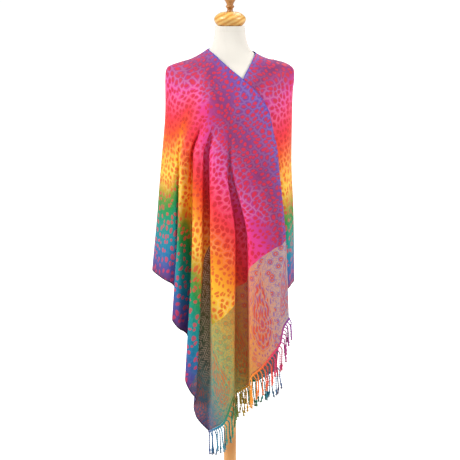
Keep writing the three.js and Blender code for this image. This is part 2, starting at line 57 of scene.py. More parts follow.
SETTLED_MAP = "settled_cloth"

log = logging.getLogger("shawl")

Array = np.ndarray
Socket = bpy.types.NodeSocket


# ---------------------------------------------------------------- small helpers
def paint(red: int, green: int, blue: int) -> tuple[float, float, float, float]:
    """Turns a screen colour of 0 to 255 a channel into the linear colour that a shader takes."""
    shares = (value / 255 for value in (red, green, blue))
    linear = [share / 12.92 if share <= 0.04045 else ((share + 0.055) / 1.055) ** 2.4 for share in shares]
    return (linear[0], linear[1], linear[2], 1.0)


def through(knots: Array, values: Array, at: Array) -> Array:
    """Reads the smooth curve through a table's rows, which never swings past its own values.

    Args:
        knots: Rising places of the rows, one for each on the last axis.
        values: The rows' values, on the same last axis.
        at: Where to read the curve, on its own last axis.

    Returns:
        The curve's values at those places.
    """
    slope = np.diff(values) / np.diff(knots)
    before, after = slope[..., :-1], slope[..., 1:]
    agree = before * after > 0
    total = np.where(agree, before + after, 1.0)
    inner = np.where(agree, 2 * before * after / total, 0.0)
    tangent = np.concatenate([slope[..., :1], inner, slope[..., -1:]], axis=-1)
    rows = np.broadcast_shapes(knots.shape[:-1], values.shape[:-1], at.shape[:-1])
    knots, values, tangent = (np.broadcast_to(a, (*rows, a.shape[-1])) for a in (knots, values, tangent))
    at = np.broadcast_to(at, (*rows, at.shape[-1]))
    left = (at[..., None] > knots[..., None, 1:-1]).sum(-1)
    start, end = np.take_along_axis(knots, left, -1), np.take_along_axis(knots, left + 1, -1)
    span = end - start
    f = np.clip((at - start) / span, 0.0, 1.0)
    f2, f3 = f**2, f**3
    return (
        (2 * f3 - 3 * f2 + 1) * np.take_along_axis(values, left, -1)
        + (f3 - 2 * f2 + f) * span * np.take_along_axis(tangent, left, -1)
        + (3 * f2 - 2 * f3) * np.take_along_axis(values, left + 1, -1)
        + (f3 - f2) * span * np.take_along_axis(tangent, left + 1, -1)
    )


def smooth_step(value: Array, start: float, end: float) -> Array:
    """Rises smoothly from 0 at start to 1 at end."""
    share = np.clip((value - start) / (end - start), 0.0, 1.0)
    return share * share * (3 - 2 * share)


def unit(vectors: Array) -> Array:
    """Scales each vector on the last axis to length 1."""
    return vectors / np.maximum(np.linalg.norm(vectors, axis=-1, keepdims=True), 1e-12)


def grid_into(bm: bmesh.types.BMesh, places: Array) -> list[bmesh.types.BMVert]:
    """Lays a grid of quads through places and lets its faces point along down x across.

    Args:
        bm: The mesh that receives the grid.
        places: Points in metres, (across, down, 3).

    Returns:
        The grid's vertices, one for each place, in the order of places flattened.
    """
    across, down = places.shape[:2]
    made = bmesh.ops.create_grid(bm, x_segments=across - 1, y_segments=down - 1, size=0.5)["verts"]
    ordered: list[bmesh.types.BMVert | None] = [None] * (across * down)
    for vert in made:
        column = round((vert.co.x + 0.5) * (across - 1))
        row = round((vert.co.y + 0.5) * (down - 1))
        ordered[column * down + row] = vert
    for vert, place in zip(ordered, places.reshape(-1, 3)):
        vert.co = place
    faces = list({face for vert in ordered for face in vert.link_faces})
    bmesh.ops.reverse_faces(bm, faces=faces)
    return ordered


def finished(bm: bmesh.types.BMesh, name: str, materials: Sequence[bpy.types.Material]) -> bpy.types.Object:
    """Turns a bmesh into a smooth-shaded object at the origin.

    Args:
        bm: The mesh, which is freed.
        name: The piece's name.
        materials: Its materials, in slot order.

    Returns:
        The new object, linked to the scene.
    """
    mesh = bpy.data.meshes.new(name)
    bm.to_mesh(mesh)
    bm.free()
    mesh.polygons.foreach_set("use_smooth", [True] * len(mesh.polygons))
    for material in materials:
        mesh.materials.append(material)
    made = bpy.data.objects.new(name, mesh)
    bpy.context.scene.collection.objects.link(made)
    log.info("%s: %d faces", name, len(mesh.polygons))
    return made


def sharpen(piece: bpy.types.Object, degrees: float) -> None:
    """Marks edges that turn by more than that angle as sharp, so that crisp turned beads stay crisp."""
    piece.data.set_sharp_from_angle(angle=math.radians(degrees))


# ---------------------------------------------------------------- shader nodes
class NodeSheet:
    """A node tree with short calls for the nodes that the finishes use."""

    def __init__(self, tree: bpy.types.NodeTree) -> None:
        """Keeps the tree to build in."""
        self.tree = tree

    def node(self, kind: str, **settings: object) -> bpy.types.Node:
        """Adds a node and gives it its settings."""
        made = self.tree.nodes.new(kind)
        for name, value in settings.items():
            setattr(made, name, value)
        return made

    def feed(self, target: Socket, value: object) -> None:
        """Links a socket to a target, or sets the target to a plain value."""
        if isinstance(value, bpy.types.NodeSocket):
            self.tree.links.new(value, target)
        else:
            target.default_value = value

    def math(self, operation: str, *values: object, clamp: bool = False) -> Socket:
        """Adds a Math node over the values."""
        made = self.node("ShaderNodeMath", operation=operation, use_clamp=clamp)
        for target, value in zip(made.inputs, values):
            self.feed(target, value)
        return made.outputs[0]

    def vector(self, operation: str, *values: object) -> bpy.types.Node:
        """Adds a Vector Math node over the values."""
        made = self.node("ShaderNodeVectorMath", operation=operation)
        for target, value in zip(made.inputs, values):
            self.feed(target, value)
        return made

    def step(self, value: object, start: float, end: float) -> Socket:
        """Rises or falls smoothly from 0 at start to 1 at end."""
        made = self.node("ShaderNodeMapRange", interpolation_type="SMOOTHSTEP")
        for name, given in (("Value", value), ("From Min", start), ("From Max", end)):
            self.feed(made.inputs[name], given)
        return made.outputs["Result"]

    def mix(self, share: object, low: object, high: object, blend: str = "MIX") -> Socket:
        """Mixes two colours by a share."""
        made = self.node("ShaderNodeMix", data_type="RGBA", blend_type=blend)
        for target, value in ((made.inputs[0], share), (made.inputs[6], low), (made.inputs[7], high)):
            self.feed(target, value)
        return made.outputs[2]

    def ramp(self, place: object, stops: Sequence[tuple[float, tuple]]) -> Socket:
        """Adds a colour ramp with the stops (place, colour)."""
        made = self.node("ShaderNodeValToRGB")
        elements = made.color_ramp.elements
        while len(elements) < len(stops):
            elements.new(0.5)
        for element, (where, colour) in zip(elements, stops):
            element.position = where
            element.color = colour
        self.feed(made.inputs[0], place)
        return made.outputs[0]

    def noise(
        self, vector: Socket, scale: float, detail: float = 2.0, distortion: float = 0.0
    ) -> bpy.types.Node:
        """Adds a Noise Texture on the vector."""
        made = self.node("ShaderNodeTexNoise")
        self.feed(made.inputs["Vector"], vector)
        for name, value in (("Scale", scale), ("Detail", detail), ("Distortion", distortion)):
            made.inputs[name].default_value = value
        return made

    def cells(self, vector: Socket, scale: float, feature: str, randomness: float) -> bpy.types.Node:
        """Adds a flat Voronoi Texture on the vector."""
        made = self.node("ShaderNodeTexVoronoi", voronoi_dimensions="2D", feature=feature)
        self.feed(made.inputs["Vector"], vector)
        made.inputs["Scale"].default_value = scale
        made.inputs["Randomness"].default_value = randomness
        return made

    def group(self, tree: bpy.types.NodeTree, **values: object) -> bpy.types.Node:
        """Places a node group and feeds its inputs by name, with _ for a space."""
        made = self.node("ShaderNodeGroup", node_tree=tree)
        for name, value in values.items():
            self.feed(made.inputs[name.replace("_", " ")], value)
        return made

    def bump(self, height: Socket, strength: float, distance: float) -> Socket:
        """Adds a Bump node whose distance is in metres."""
        made = self.node("ShaderNodeBump")
        made.inputs["Strength"].default_value = strength
        made.inputs["Distance"].default_value = distance
        self.feed(made.inputs["Height"], height)
        return made.outputs[0]


class GroupSheet(NodeSheet):
    """A shader node group with named inputs and outputs."""

    def __init__(self, name: str, inputs: dict[str, tuple[str, object]], outputs: Sequence[str]) -> None:
        """Makes the group and its sockets.

        Args:
            name: The group's name.
            inputs: For each input its kind, Vector or Float, and its default value or None.
            outputs: The names of its outputs, which are all plain values.
        """
        super().__init__(bpy.data.node_groups.new(name, "ShaderNodeTree"))
        for label, (kind, value) in inputs.items():
            made = self.tree.interface.new_socket(label, in_out="INPUT", socket_type=f"NodeSocket{kind}")
            if value is not None:
                made.default_value = value
        for label in outputs:
            self.tree.interface.new_socket(label, in_out="OUTPUT", socket_type="NodeSocketFloat")
        self.given = self.node("NodeGroupInput").outputs
        self.result = self.node("NodeGroupOutput").inputs


def new_material(name: str, **constants: object) -> tuple[bpy.types.Material, NodeSheet, bpy.types.Node]:
    """Makes a material with a Principled shader.

    Args:
        name: The material's name.
        constants: Values of the shader's own sockets, with _ for a space.

    Returns:
        The material, its node sheet and its shader.
    """
    material = bpy.data.materials.new(name)
    material.use_nodes = True
    sheet = NodeSheet(material.node_tree)
    shader = material.node_tree.nodes["Principled BSDF"]
    for label, value in constants.items():
        shader.inputs[label.replace("_", " ")].default_value = value
    return material, sheet, shader


class SharedEffects:
    """Node groups that several finishes use, each built once."""

    def __init__(self) -> None:
        """Builds the groups."""
        self.weave = self._weave()
        self.wood_grain = self._wood_grain()
        self.wear = self._wear()

    @staticmethod
    def _weave() -> bpy.types.NodeTree:
        """Threads that cross over and under: Height for bump and Fleck for thread-by-thread colour."""
        group = GroupSheet(
            "weave",
            {"Vector": ("Vector", None), "Threads": ("Float", 900.0), "Unevenness": ("Float", 0.4)},
            ("Height", "Fleck"),
        )
        flat = group.node("ShaderNodeSeparateXYZ")
        group.feed(flat.inputs[0], group.given["Vector"])
        waves = []
        for axis in ("X", "Y"):
            turns = group.math("MULTIPLY", flat.outputs[axis], group.given["Threads"])
            waves.append(group.math("SINE", group.math("MULTIPLY", turns, 2 * math.pi)))
        crossing = group.math("MULTIPLY", waves[0], waves[1])
        slub = group.noise(group.given["Vector"], 420.0, 3.0).outputs["Fac"]
        uneven = group.math("MULTIPLY", group.math("SUBTRACT", slub, 0.5), group.given["Unevenness"])
        height = group.math("ADD", group.math("MULTIPLY", crossing, 0.5), uneven)
        group.feed(group.result["Height"], height)
        group.feed(group.result["Fleck"], slub)
        return group.tree

    @staticmethod
    def _wood_grain() -> bpy.types.NodeTree:
        """Growth bands and fine pores, lengthwise on the vector's Z."""
        group = GroupSheet(
            "wood_grain",
            {"Vector": ("Vector", None), "Bands": ("Float", 40.0), "Wander": ("Float", 3.0)},
            ("Band", "Pores"),
        )
        wave = group.node("ShaderNodeTexWave", wave_type="RINGS", rings_direction="X", wave_profile="SIN")
        for name, value in (
            ("Vector", group.given["Vector"]),
            ("Scale", group.given["Bands"]),
            ("Distortion", group.given["Wander"]),
            ("Detail", 3.0),
            ("Detail Scale", 1.2),
        ):
            group.feed(wave.inputs[name], value)
        along = group.vector("MULTIPLY", group.given["Vector"], (900.0, 900.0, 60.0))
        pores = group.noise(along.outputs[0], 1.0, 4.0).outputs["Fac"]
        group.feed(group.result["Band"], wave.outputs["Fac"])
        group.feed(group.result["Pores"], pores)
        return group.tree

    @staticmethod
    def _wear() -> bpy.types.NodeTree:
        """Slow uneven clouds, as of handling and dust, from 0 to 1."""
        group = GroupSheet("wear", {"Vector": ("Vector", None), "Patch": ("Float", 12.0)}, ("Cloud",))
        cloud = group.node("ShaderNodeTexNoise")
        for name, value in (
            ("Vector", group.given["Vector"]),
            ("Scale", group.given["Patch"]),
            ("Detail", 4.0),
            ("Roughness", 0.55),
        ):
            group.feed(cloud.inputs[name], value)
        group.feed(group.result["Cloud"], cloud.outputs["Fac"])
        return group.tree


# ---------------------------------------------------------------- the jacquard's colours
# A table's row is a place across the cloth, as a share of its width from the neck edge, and the colour there.
GROUND_DYE = (
    (0.00, paint(108, 72, 160)),
    (0.04, paint(128, 60, 128)),
    (0.09, paint(132, 48, 104)),
    (0.15, paint(176, 53, 128)),
    (0.20, paint(222, 58, 142)),
    (0.26, paint(234, 58, 104)),
    (0.31, paint(236, 52, 64)),
    (0.36, paint(238, 76, 36)),
    (0.41, paint(242, 122, 26)),
    (0.46, paint(248, 170, 42)),
    (0.52, paint(248, 188, 48)),
    (0.58, paint(204, 156, 36)),
    (0.63, paint(98, 138, 44)),
    (0.68, paint(20, 138, 72)),
    (0.74, paint(8, 140, 118)),
    (0.82, paint(8, 130, 148)),
    (0.88, paint(24, 108, 158)),
    (0.94, paint(72, 74, 148)),
    (1.00, paint(98, 42, 98)),
)
NET_DYE = (
    (0.00, (0.66, 0.58, 1.0, 1)),
    (0.10, (1.0, 0.64, 0.86, 1)),
    (0.32, (1.0, 0.66, 0.76, 1)),
    (0.42, (1.0, 0.86, 0.44, 1)),
    (0.60, (0.9, 0.94, 0.5, 1)),
)
NET_SHARE = tuple(
    (place, (share, share, share, 1.0))
    for place, share in (
        (0.00, 0.6),
        (0.08, 0.25),
        (0.17, 0.8),
        (0.24, 0.6),
        (0.31, 0.1),
        (0.42, 0.9),
        (0.55, 0.8),
        (0.66, 0.1),
    )
)
SPOT_DYE = (
    (0.00, paint(204, 48, 72)),
    (0.12, paint(208, 40, 66)),
    (0.25, paint(210, 34, 62)),
    (0.34, paint(206, 44, 40)),
    (0.48, paint(232, 104, 40)),
    (0.60, paint(206, 88, 44)),
    (0.74, paint(188, 80, 84)),
    (0.86, paint(192, 68, 98)),
    (1.00, paint(184, 46, 88)),
)
BORDER_DYE = (
    (0.00, paint(175, 158, 160)),
    (0.08, paint(190, 160, 151)),
    (0.18, paint(199, 153, 136)),
    (0.28, paint(212, 141, 104)),
    (0.36, paint(214, 138, 78)),
    (0.46, paint(192, 136, 58)),
    (0.56, paint(195, 164, 78)),
    (0.68, paint(164, 164, 97)),
    (0.80, paint(119, 141, 119)),
    (0.90, paint(97, 108, 119)),
    (1.00, paint(80, 67, 102)),
)
FIGURE_DYE = (
    (0.00, paint(204, 88, 72)),
    (0.20, paint(206, 66, 50)),
    (0.35, paint(212, 70, 40)),
    (0.50, paint(206, 97, 41)),
    (0.70, paint(199, 112, 65)),
    (1.00, paint(160, 82, 89)),
)
OUTLINE_DYE = (
    (0.00, paint(100, 86, 164)),
    (0.18, paint(117, 86, 164)),
    (0.30, paint(164, 86, 130)),
    (0.40, paint(186, 86, 86)),
    (0.50, paint(140, 121, 65)),
    (0.62, paint(97, 149, 97)),
    (0.80, paint(56, 130, 130)),
    (1.00, paint(78, 74, 130)),
)
WARM_DOT_DYE = (
    (0.00, paint(206, 123, 97)),
    (0.30, paint(219, 119, 61)),
    (0.50, paint(208, 112, 41)),
    (0.75, paint(199, 115, 61)),
    (1.00, paint(167, 74, 89)),
)
COOL_DOT_DYE = (
    (0.00, paint(140, 126, 166)),
    (0.20, paint(149, 121, 158)),
    (0.34, paint(192, 112, 108)),
    (0.46, paint(140, 128, 73)),
    (0.60, paint(69, 140, 110)),
    (0.80, paint(32, 123, 128)),
    (1.00, paint(46, 65, 121)),
)
# The hatching's dark ground, laid only in the fold's deep hollows: partly the woven ground, partly painted
# shade.
HATCH_GROUND_AND_HOLLOW_SHADE = (
    (0.40, paint(96, 44, 38)),
    (0.56, paint(88, 50, 46)),
    (0.70, paint(46, 62, 46)),
    (0.90, paint(50, 54, 66)),
)
YARN_DYE = (
    (0.00, paint(132, 66, 160)),
    (0.14, paint(176, 50, 132)),
    (0.24, paint(214, 40, 92)),
    (0.34, paint(230, 84, 36)),
    (0.46, paint(240, 146, 34)),
    (0.57, paint(206, 166, 40)),
    (0.66, paint(112, 128, 48)),
    (0.75, paint(28, 132, 88)),
    (0.85, paint(12, 126, 146)),
    (0.93, paint(14, 116, 158)),
    (0.97, paint(62, 92, 146)),
    (1.00, paint(104, 88, 124)),
)
HATCH_THREAD = paint(214, 184, 160)
NECK_EDGE_DYE = paint(62, 66, 176)
HEM_DYE = paint(50, 28, 62)


class ClothFace(Enum):
    """The two faces of a jacquard, on which figure and ground change places."""

    RIGHT = "shawl_jacquard"
    WRONG = "shawl_jacquard_reverse"


@dataclass(frozen=True)
class JacquardCloth:
    """The shawl's cloth: dyed across its width, spotted in the field and figured at both ends."""

    shared: SharedEffects
    spot_spacing: float = 12.4
    spot_spacing_at_hem: float = 16.5
    spots_part: tuple[float, float] = (0.54, 0.6)
    dye_drift: float = 0.03
    net_tint: float = 0.2
    spot_cover: float = 0.92
    reverse_cover: float = 0.85
    border: float = 212.0
    paisley_pitch: float = 150.0
    paisley_across: float = 196.0
    paisley_depth: float = 142.0
    figure_wander: float = 30.0
    stipple_sparse: float = 0.34
    stipple_dense: float = 0.46
    stipple_grows: tuple[float, float] = (260.0, 420.0)
    # how far the hatching's dark ground, partly painted hollow shade, covers the border's colour
    hatch_and_shade_cover: float = 0.74
    selvedge: float = 2.6
    hem_band: float = 5.0
    threads_per_metre: float = 900.0

    def material(self, face: ClothFace) -> bpy.types.Material:
        """Dresses one face of the cloth.

        Args:
            face: Which face of the cloth it is.

        Returns:
            The material, which reads the cloth's own two UV maps.
        """
        material, sheet, shader = new_material(
            face.value, Specular_IOR_Level=0.22, Sheen_Weight=0.06, Sheen_Roughness=0.35
        )
        flat = sheet.node("ShaderNodeUVMap", uv_map=FLAT_MAP).outputs[0]
        settled = sheet.node("ShaderNodeUVMap", uv_map=SETTLED_MAP).outputs[0]
        parts = sheet.node("ShaderNodeSeparateXYZ")
        sheet.feed(parts.inputs[0], flat)
        down = parts.outputs["Y"]
        drift = sheet.noise(flat, 9.0, 3.0).outputs["Fac"]
        wander = sheet.math("MULTIPLY_ADD", drift, self.dye_drift, -self.dye_drift / 2)
        dyed_at = sheet.math("ADD", sheet.math("DIVIDE", down, CLOTH_WIDTH * MM), wander)
        spots = sheet.group(self._spots(), Settled=settled, Wide=sheet.step(dyed_at, *self.spots_part))
        figures = sheet.group(self._figures(), Flat=flat, Settled=settled)

        plain = self._field_colour(sheet, spots, dyed_at, face)
        end = self._end_colour(sheet, figures, dyed_at, down)
        colour = self._with_edges(sheet, sheet.mix(figures.outputs["Border"], plain, end), down)
        weave = sheet.group(self.shared.weave, Vector=flat, Threads=self.threads_per_metre, Unevenness=0.5)
        thread = sheet.math("MULTIPLY_ADD", weave.outputs["Fleck"], 0.3, 0.85)
        sheet.feed(shader.inputs["Base Color"], sheet.mix(1.0, colour, self._grey(sheet, thread), "MULTIPLY"))
        floats = sheet.math("MULTIPLY", spots.outputs["Spot"], 0.8)
        raised = sheet.math("ADD", weave.outputs["Height"], floats)
        sheet.feed(shader.inputs["Normal"], sheet.bump(raised, 0.35, 0.0004))
        satin = sheet.math("MULTIPLY_ADD", spots.outputs["Spot"], -0.1, 0.6)
        sheet.feed(shader.inputs["Roughness"], satin)
        return material

    def _field_colour(
        self, sheet: NodeSheet, spots: bpy.types.Node, dyed_at: Socket, face: ClothFace
    ) -> Socket:
        """The field: dyed ground, the light net on it, and the spots."""
        ground = sheet.ramp(dyed_at, GROUND_DYE)
        net = sheet.mix(self.net_tint, ground, sheet.ramp(dyed_at, NET_DYE))
        shown = sheet.math("MULTIPLY", spots.outputs["Net"], sheet.ramp(dyed_at, NET_SHARE))
        ground = sheet.mix(shown, ground, net)
        cover = sheet.math("MULTIPLY", spots.outputs["Spot"], self.spot_cover)
        if face is ClothFace.WRONG:
            cover = sheet.math("SUBTRACT", self.reverse_cover, cover, clamp=True)
        return sheet.mix(cover, ground, sheet.ramp(dyed_at, SPOT_DYE))

    def _end_colour(
        self, sheet: NodeSheet, figures: bpy.types.Node, dyed_at: Socket, down: Socket
    ) -> Socket:
        """The figured end: stippled ground, petals, their outlines, and the hatching in the deep hollows,
        whose dark ground is painted shade.
        """
        grown = sheet.step(down, *(place * MM for place in self.stipple_grows))
        more = self.stipple_dense - self.stipple_sparse
        stipple = sheet.math("MULTIPLY_ADD", grown, more, self.stipple_sparse)
        colour = sheet.ramp(dyed_at, BORDER_DYE)
        for dot, table in (("Warm Dot", WARM_DOT_DYE), ("Cool Dot", COOL_DOT_DYE)):
            dotted = sheet.math("MULTIPLY", figures.outputs[dot], stipple)
            colour = sheet.mix(dotted, colour, sheet.ramp(dyed_at, table))
        for figure, table in (("Petal", FIGURE_DYE), ("Outline", OUTLINE_DYE)):
            colour = sheet.mix(figures.outputs[figure], colour, sheet.ramp(dyed_at, table))
        # Painted shade: the hatching with its dark ground is laid only where the fold's deep hollows lie, by
        # the mesh's attribute.
        in_shaded_hollow = sheet.node("ShaderNodeAttribute", attribute_name="hatch_and_hollow_shade").outputs["Fac"]
        ground = sheet.ramp(dyed_at, BORDER_DYE)
        hatch_and_hollow_shade = sheet.mix(self.hatch_and_shade_cover, ground, sheet.ramp(dyed_at, HATCH_GROUND_AND_HOLLOW_SHADE))
        hatch_and_hollow_shade = sheet.mix(figures.outputs["Hatch"], hatch_and_hollow_shade, HATCH_THREAD)
        return sheet.mix(in_shaded_hollow, colour, hatch_and_hollow_shade)

    def _with_edges(self, sheet: NodeSheet, colour: Socket, down: Socket) -> Socket:
        """Adds the woven line along the neck edge and the dark one along the hem."""
        neck_blur, hem_blur = 0.8, 1.0
        edge_away = sheet.node("ShaderNodeAttribute", attribute_name="edge_away").outputs["Fac"]
        neck_edge = sheet.step(edge_away, self.selvedge * MM, (self.selvedge - neck_blur) * MM)
        colour = sheet.mix(sheet.math("MULTIPLY", neck_edge, 0.8), colour, NECK_EDGE_DYE)
        hem_from = CLOTH_WIDTH - self.hem_band
        hem = sheet.step(down, hem_from * MM, (hem_from + hem_blur) * MM)
        return sheet.mix(sheet.math("MULTIPLY", hem, 0.9), colour, HEM_DYE)

    @staticmethod
    def _grey(sheet: NodeSheet, value: Socket) -> Socket:
        """Makes a grey of a value, to multiply a colour with."""
        made = sheet.node("ShaderNodeCombineColor")
        for target in made.inputs:
            sheet.feed(target, value)
        return made.outputs[0]

    def _spots(self) -> bpy.types.NodeTree:
        """Uneven oval spots, wider apart towards the hem, and the light net between them."""
        known = bpy.data.node_groups.get("field_spots")
        if known:
            return known
        given = {"Settled": ("Vector", None), "Wide": ("Float", 0.0)}
        group = GroupSheet("field_spots", given, ("Spot", "Net"))
        settled = group.given["Settled"]
        askew, narrowing = 0.034, (0.92, 0.74, 1.0)
        bend = group.noise(settled, 17.0, 2.0).outputs["Color"]
        shift = group.vector("SCALE", group.vector("SUBTRACT", bend, (0.5, 0.5, 0.5)).outputs[0])
        shift.inputs["Scale"].default_value = askew
        warped = group.vector("ADD", settled, shift.outputs[0]).outputs[0]
        oval = group.vector("MULTIPLY", warped, narrowing).outputs[0]
        close, edge, beyond = self._ovals(group, oval, self.spot_spacing, 0.26)
        wide, _, _ = self._ovals(group, oval, self.spot_spacing_at_hem, 0.22)
        apart = group.math("SUBTRACT", wide, close)
        group.feed(group.result["Spot"], group.math("MULTIPLY_ADD", apart, group.given["Wide"], close))
        patches = group.step(group.noise(settled, 6.5, 2.0).outputs["Fac"], 0.38, 0.54)
        between = group.math("MULTIPLY", group.step(edge, 0.22, 0.04), group.step(beyond, 0.02, 0.12))
        group.feed(group.result["Net"], group.math("MULTIPLY", between, patches))
        return group.tree

    @staticmethod
    def _ovals(
        group: GroupSheet, place: Socket, spacing: float, least: float
    ) -> tuple[Socket, Socket, Socket]:
        """Scatters ovals.

        Args:
            group: The group to build in.
            place: Where on the cloth.
            spacing: The ovals' spacing in millimetres.
            least: The smallest oval's radius as a share of the spacing.

        Returns:
            The ovals, the distance to the border between two of them, and the distance beyond an oval's rim.
        """
        scale, unevenness, growth = 1000 / spacing, 0.66, 0.11
        near = group.cells(place, scale, "F1", unevenness)
        edge = group.cells(place, scale, "DISTANCE_TO_EDGE", unevenness).outputs["Distance"]
        chance = group.node("ShaderNodeSeparateColor")
        group.feed(chance.inputs[0], near.outputs["Color"])
        radius = group.math("MULTIPLY_ADD", chance.outputs[0], growth, least)
        beyond = group.math("SUBTRACT", near.outputs["Distance"], radius)
        inside = group.math("MULTIPLY", group.step(beyond, 0.05, -0.05), group.step(edge, 0.04, 0.1))
        return inside, edge, beyond

    def _figures(self) -> bpy.types.NodeTree:
        """The figured ends: paisleys in a row across the cloth, with vines, blossoms and dots between."""
        known = bpy.data.node_groups.get("end_figures")
        if known:
            return known
        given = {"Flat": ("Vector", None), "Settled": ("Vector", None)}
        labels = ("Border", "Petal", "Outline", "Warm Dot", "Cool Dot", "Hatch")
        group = GroupSheet("end_figures", given, labels)
        flat, settled = group.given["Flat"], group.given["Settled"]
        parts = group.node("ShaderNodeSeparateXYZ")
        group.feed(parts.inputs[0], flat)
        into = self._into_end(group, parts.outputs["X"])
        group.feed(group.result["Border"], group.step(into, -0.0008, 0.0008))

        level, angle = self._paisleys(group, settled, parts.outputs["Y"], into)
        inside = group.step(level, 1.04, 0.98)
        scallops, hearts = self._petal_rows(group, level, angle)
        frill = self._beats(group, angle, 24, -0.2, 0.3)
        blossom, rim = self._blossoms(group, settled)
        free = group.math("MULTIPLY", group.math("SUBTRACT", 1.0, inside), group.step(level, 1.3, 1.4))
        petals = [
            group.math("MULTIPLY", hearts, inside),
            group.step(level, 0.16, 0.1),
            group.math("MULTIPLY", blossom, free),
        ]
        lines = [
            group.math("MULTIPLY", scallops, inside),
            group.math("MULTIPLY", self._ring(group, level, 1.22, 0.05), frill),
            group.math("MULTIPLY", rim, free),
            group.math("MULTIPLY", group.math("MULTIPLY", self._vine(group, settled), free), 0.7),
        ]
        group.feed(group.result["Petal"], group.math("MULTIPLY", self._strongest(group, petals), 0.9))
        group.feed(group.result["Outline"], group.math("MULTIPLY", self._strongest(group, lines), 0.85))
        self._stipple(group, settled)
        group.feed(group.result["Hatch"], self._hatching(group, settled))
        return group.tree

    def _into_end(self, group: GroupSheet, along: Socket) -> Socket:
        """How far a place lies inside the nearer figured end, in metres, and negative in the field."""
        over = group.math("SUBTRACT", along, (OVER_REACH - self.border) * MM)
        backwards = group.math("MULTIPLY", along, -1.0)
        under = group.math("SUBTRACT", backwards, (UNDER_REACH - self.border) * MM)
        return group.math("MAXIMUM", over, under)

    def _paisleys(
        self, group: GroupSheet, settled: Socket, down: Socket, into: Socket
    ) -> tuple[Socket, Socket]:
        """The row of paisleys, drawn with a slightly unsteady hand: level and angle round each of them."""
        wander = self.figure_wander * MM
        waver = group.node("ShaderNodeSeparateColor")
        group.feed(waver.inputs[0], group.noise(settled, 20.0, 2.0).outputs["Color"])
        aside, astray = (
            group.math("MULTIPLY_ADD", waver.outputs[k], wander, -wander / 2) for k in (0, 1)
        )
        pitch = self.paisley_pitch * MM
        across = group.math("ADD", down, group.math("ADD", aside, -self.paisley_across * MM))
        place = group.math("WRAP", across, pitch / 2, -pitch / 2)
        rise = group.math("SUBTRACT", self.paisley_depth * MM, group.math("ADD", into, astray))
        return self._teardrop(group, place, rise)

    @staticmethod
    def _petal_rows(group: GroupSheet, level: Socket, angle: Socket) -> tuple[Socket, Socket]:
        """Rows of scalloped petals round a figure's middle: the line round each, and each one's heart."""
        rows, petals_round = 4.0, 11
        arch = group.math("COSINE", group.math("MULTIPLY", angle, petals_round / 2))
        arch = group.math("ABSOLUTE", arch)
        row = group.math("MULTIPLY", level, rows)
        depth = group.math("FRACT", group.math("SUBTRACT", row, group.math("MULTIPLY", arch, 0.5)))
        line = group.math("MAXIMUM", group.step(depth, 0.26, 0.12), group.step(depth, 0.9, 1.0))
        between = group.step(arch, 0.16, 0.06)
        heart = group.math("MULTIPLY", group.step(depth, 0.3, 0.5), group.step(arch, 0.4, 0.6))
        return group.math("MAXIMUM", line, group.math("MULTIPLY", between, 0.8)), heart

    @staticmethod
    def _vine(group: GroupSheet, settled: Socket) -> Socket:
        """Fine curling lines."""
        curl = group.noise(settled, 60.0, 2.0, 0.8).outputs["Fac"]
        return group.step(group.math("ABSOLUTE", group.math("SUBTRACT", curl, 0.5)), 0.03, 0.012)

    @staticmethod
    def _stipple(group: GroupSheet, settled: Socket) -> None:
        """Small dots of two yarns, which fill the ground between the figures."""
        dots_per_metre = 175.0
        near = group.cells(settled, dots_per_metre, "F1", 0.85)
        chance = group.node("ShaderNodeSeparateColor")
        group.feed(chance.inputs[0], near.outputs["Color"])
        dot = group.step(near.outputs["Distance"], 0.44, 0.34)
        for label, chosen in (("Warm Dot", 0.44), ("Cool Dot", 0.56)):
            picked = group.step(chance.outputs[1], 0.5, chosen)
            group.feed(group.result[label], group.math("MULTIPLY", dot, picked))

    def _hatching(self, group: GroupSheet, settled: Socket) -> Socket:
        """Fine broken lines in a herringbone."""
        zigzag_width, turns_per_metre = 0.011, 1000.0
        parts = group.node("ShaderNodeSeparateXYZ")
        group.feed(parts.inputs[0], settled)
        zigzag = group.math("PINGPONG", parts.outputs["X"], zigzag_width)
        slant = group.math("ADD", parts.outputs["Y"], zigzag)
        lines = self._beats(group, group.math("MULTIPLY", slant, turns_per_metre), 1, 0.1, 0.8)
        broken = group.step(group.noise(settled, 90.0, 2.0).outputs["Fac"], 0.36, 0.5)
        return group.math("MULTIPLY", lines, broken)

    @staticmethod
    def _strongest(group: GroupSheet, masks: Sequence[Socket]) -> Socket:
        """Takes the strongest of several masks."""
        joined = masks[0]
        for mask in masks[1:]:
            joined = group.math("MAXIMUM", joined, mask)
        return joined

    @staticmethod
    def _ring(group: GroupSheet, level: Socket, at: float, half: float) -> Socket:
        """A line along one of a teardrop's levels."""
        blur = 0.02
        away = group.math("ABSOLUTE", group.math("SUBTRACT", level, at))
        return group.step(away, half + blur, half - blur)

    @staticmethod
    def _beats(group: GroupSheet, angle: Socket, times: int, low: float, high: float) -> Socket:
        """Beats round an angle, from 0 where its cosine is below low to 1 where it is above high."""
        return group.step(group.math("COSINE", group.math("MULTIPLY", angle, float(times))), low, high)

    @staticmethod
    def _teardrop(group: GroupSheet, place: Socket, rise: Socket) -> tuple[Socket, Socket]:
        """A teardrop with a curled tip: its level, 1 on the outline and less inside, and the angle."""
        belly_width, belly_depth, tip, curl = 0.05, 0.05, 0.112, -0.04
        share = group.math("MAXIMUM", group.math("DIVIDE", rise, tip), 0.0)
        lean = group.math("MULTIPLY", group.math("POWER", share, 2.4), curl)
        narrow = group.math("MAXIMUM", group.math("MULTIPLY_ADD", share, -0.72, 1.0), 0.12)
        half = group.math("MULTIPLY", narrow, belly_width)
        aside = group.math("DIVIDE", group.math("SUBTRACT", place, lean), half)
        sunk = group.math("DIVIDE", group.math("MINIMUM", rise, 0.0), belly_depth)
        upward = group.math("ADD", share, sunk)
        squares = [group.math("POWER", side, 2.0) for side in (aside, upward)]
        level = group.math("SQRT", group.math("ADD", *squares))
        return level, group.math("ARCTAN2", upward, aside)

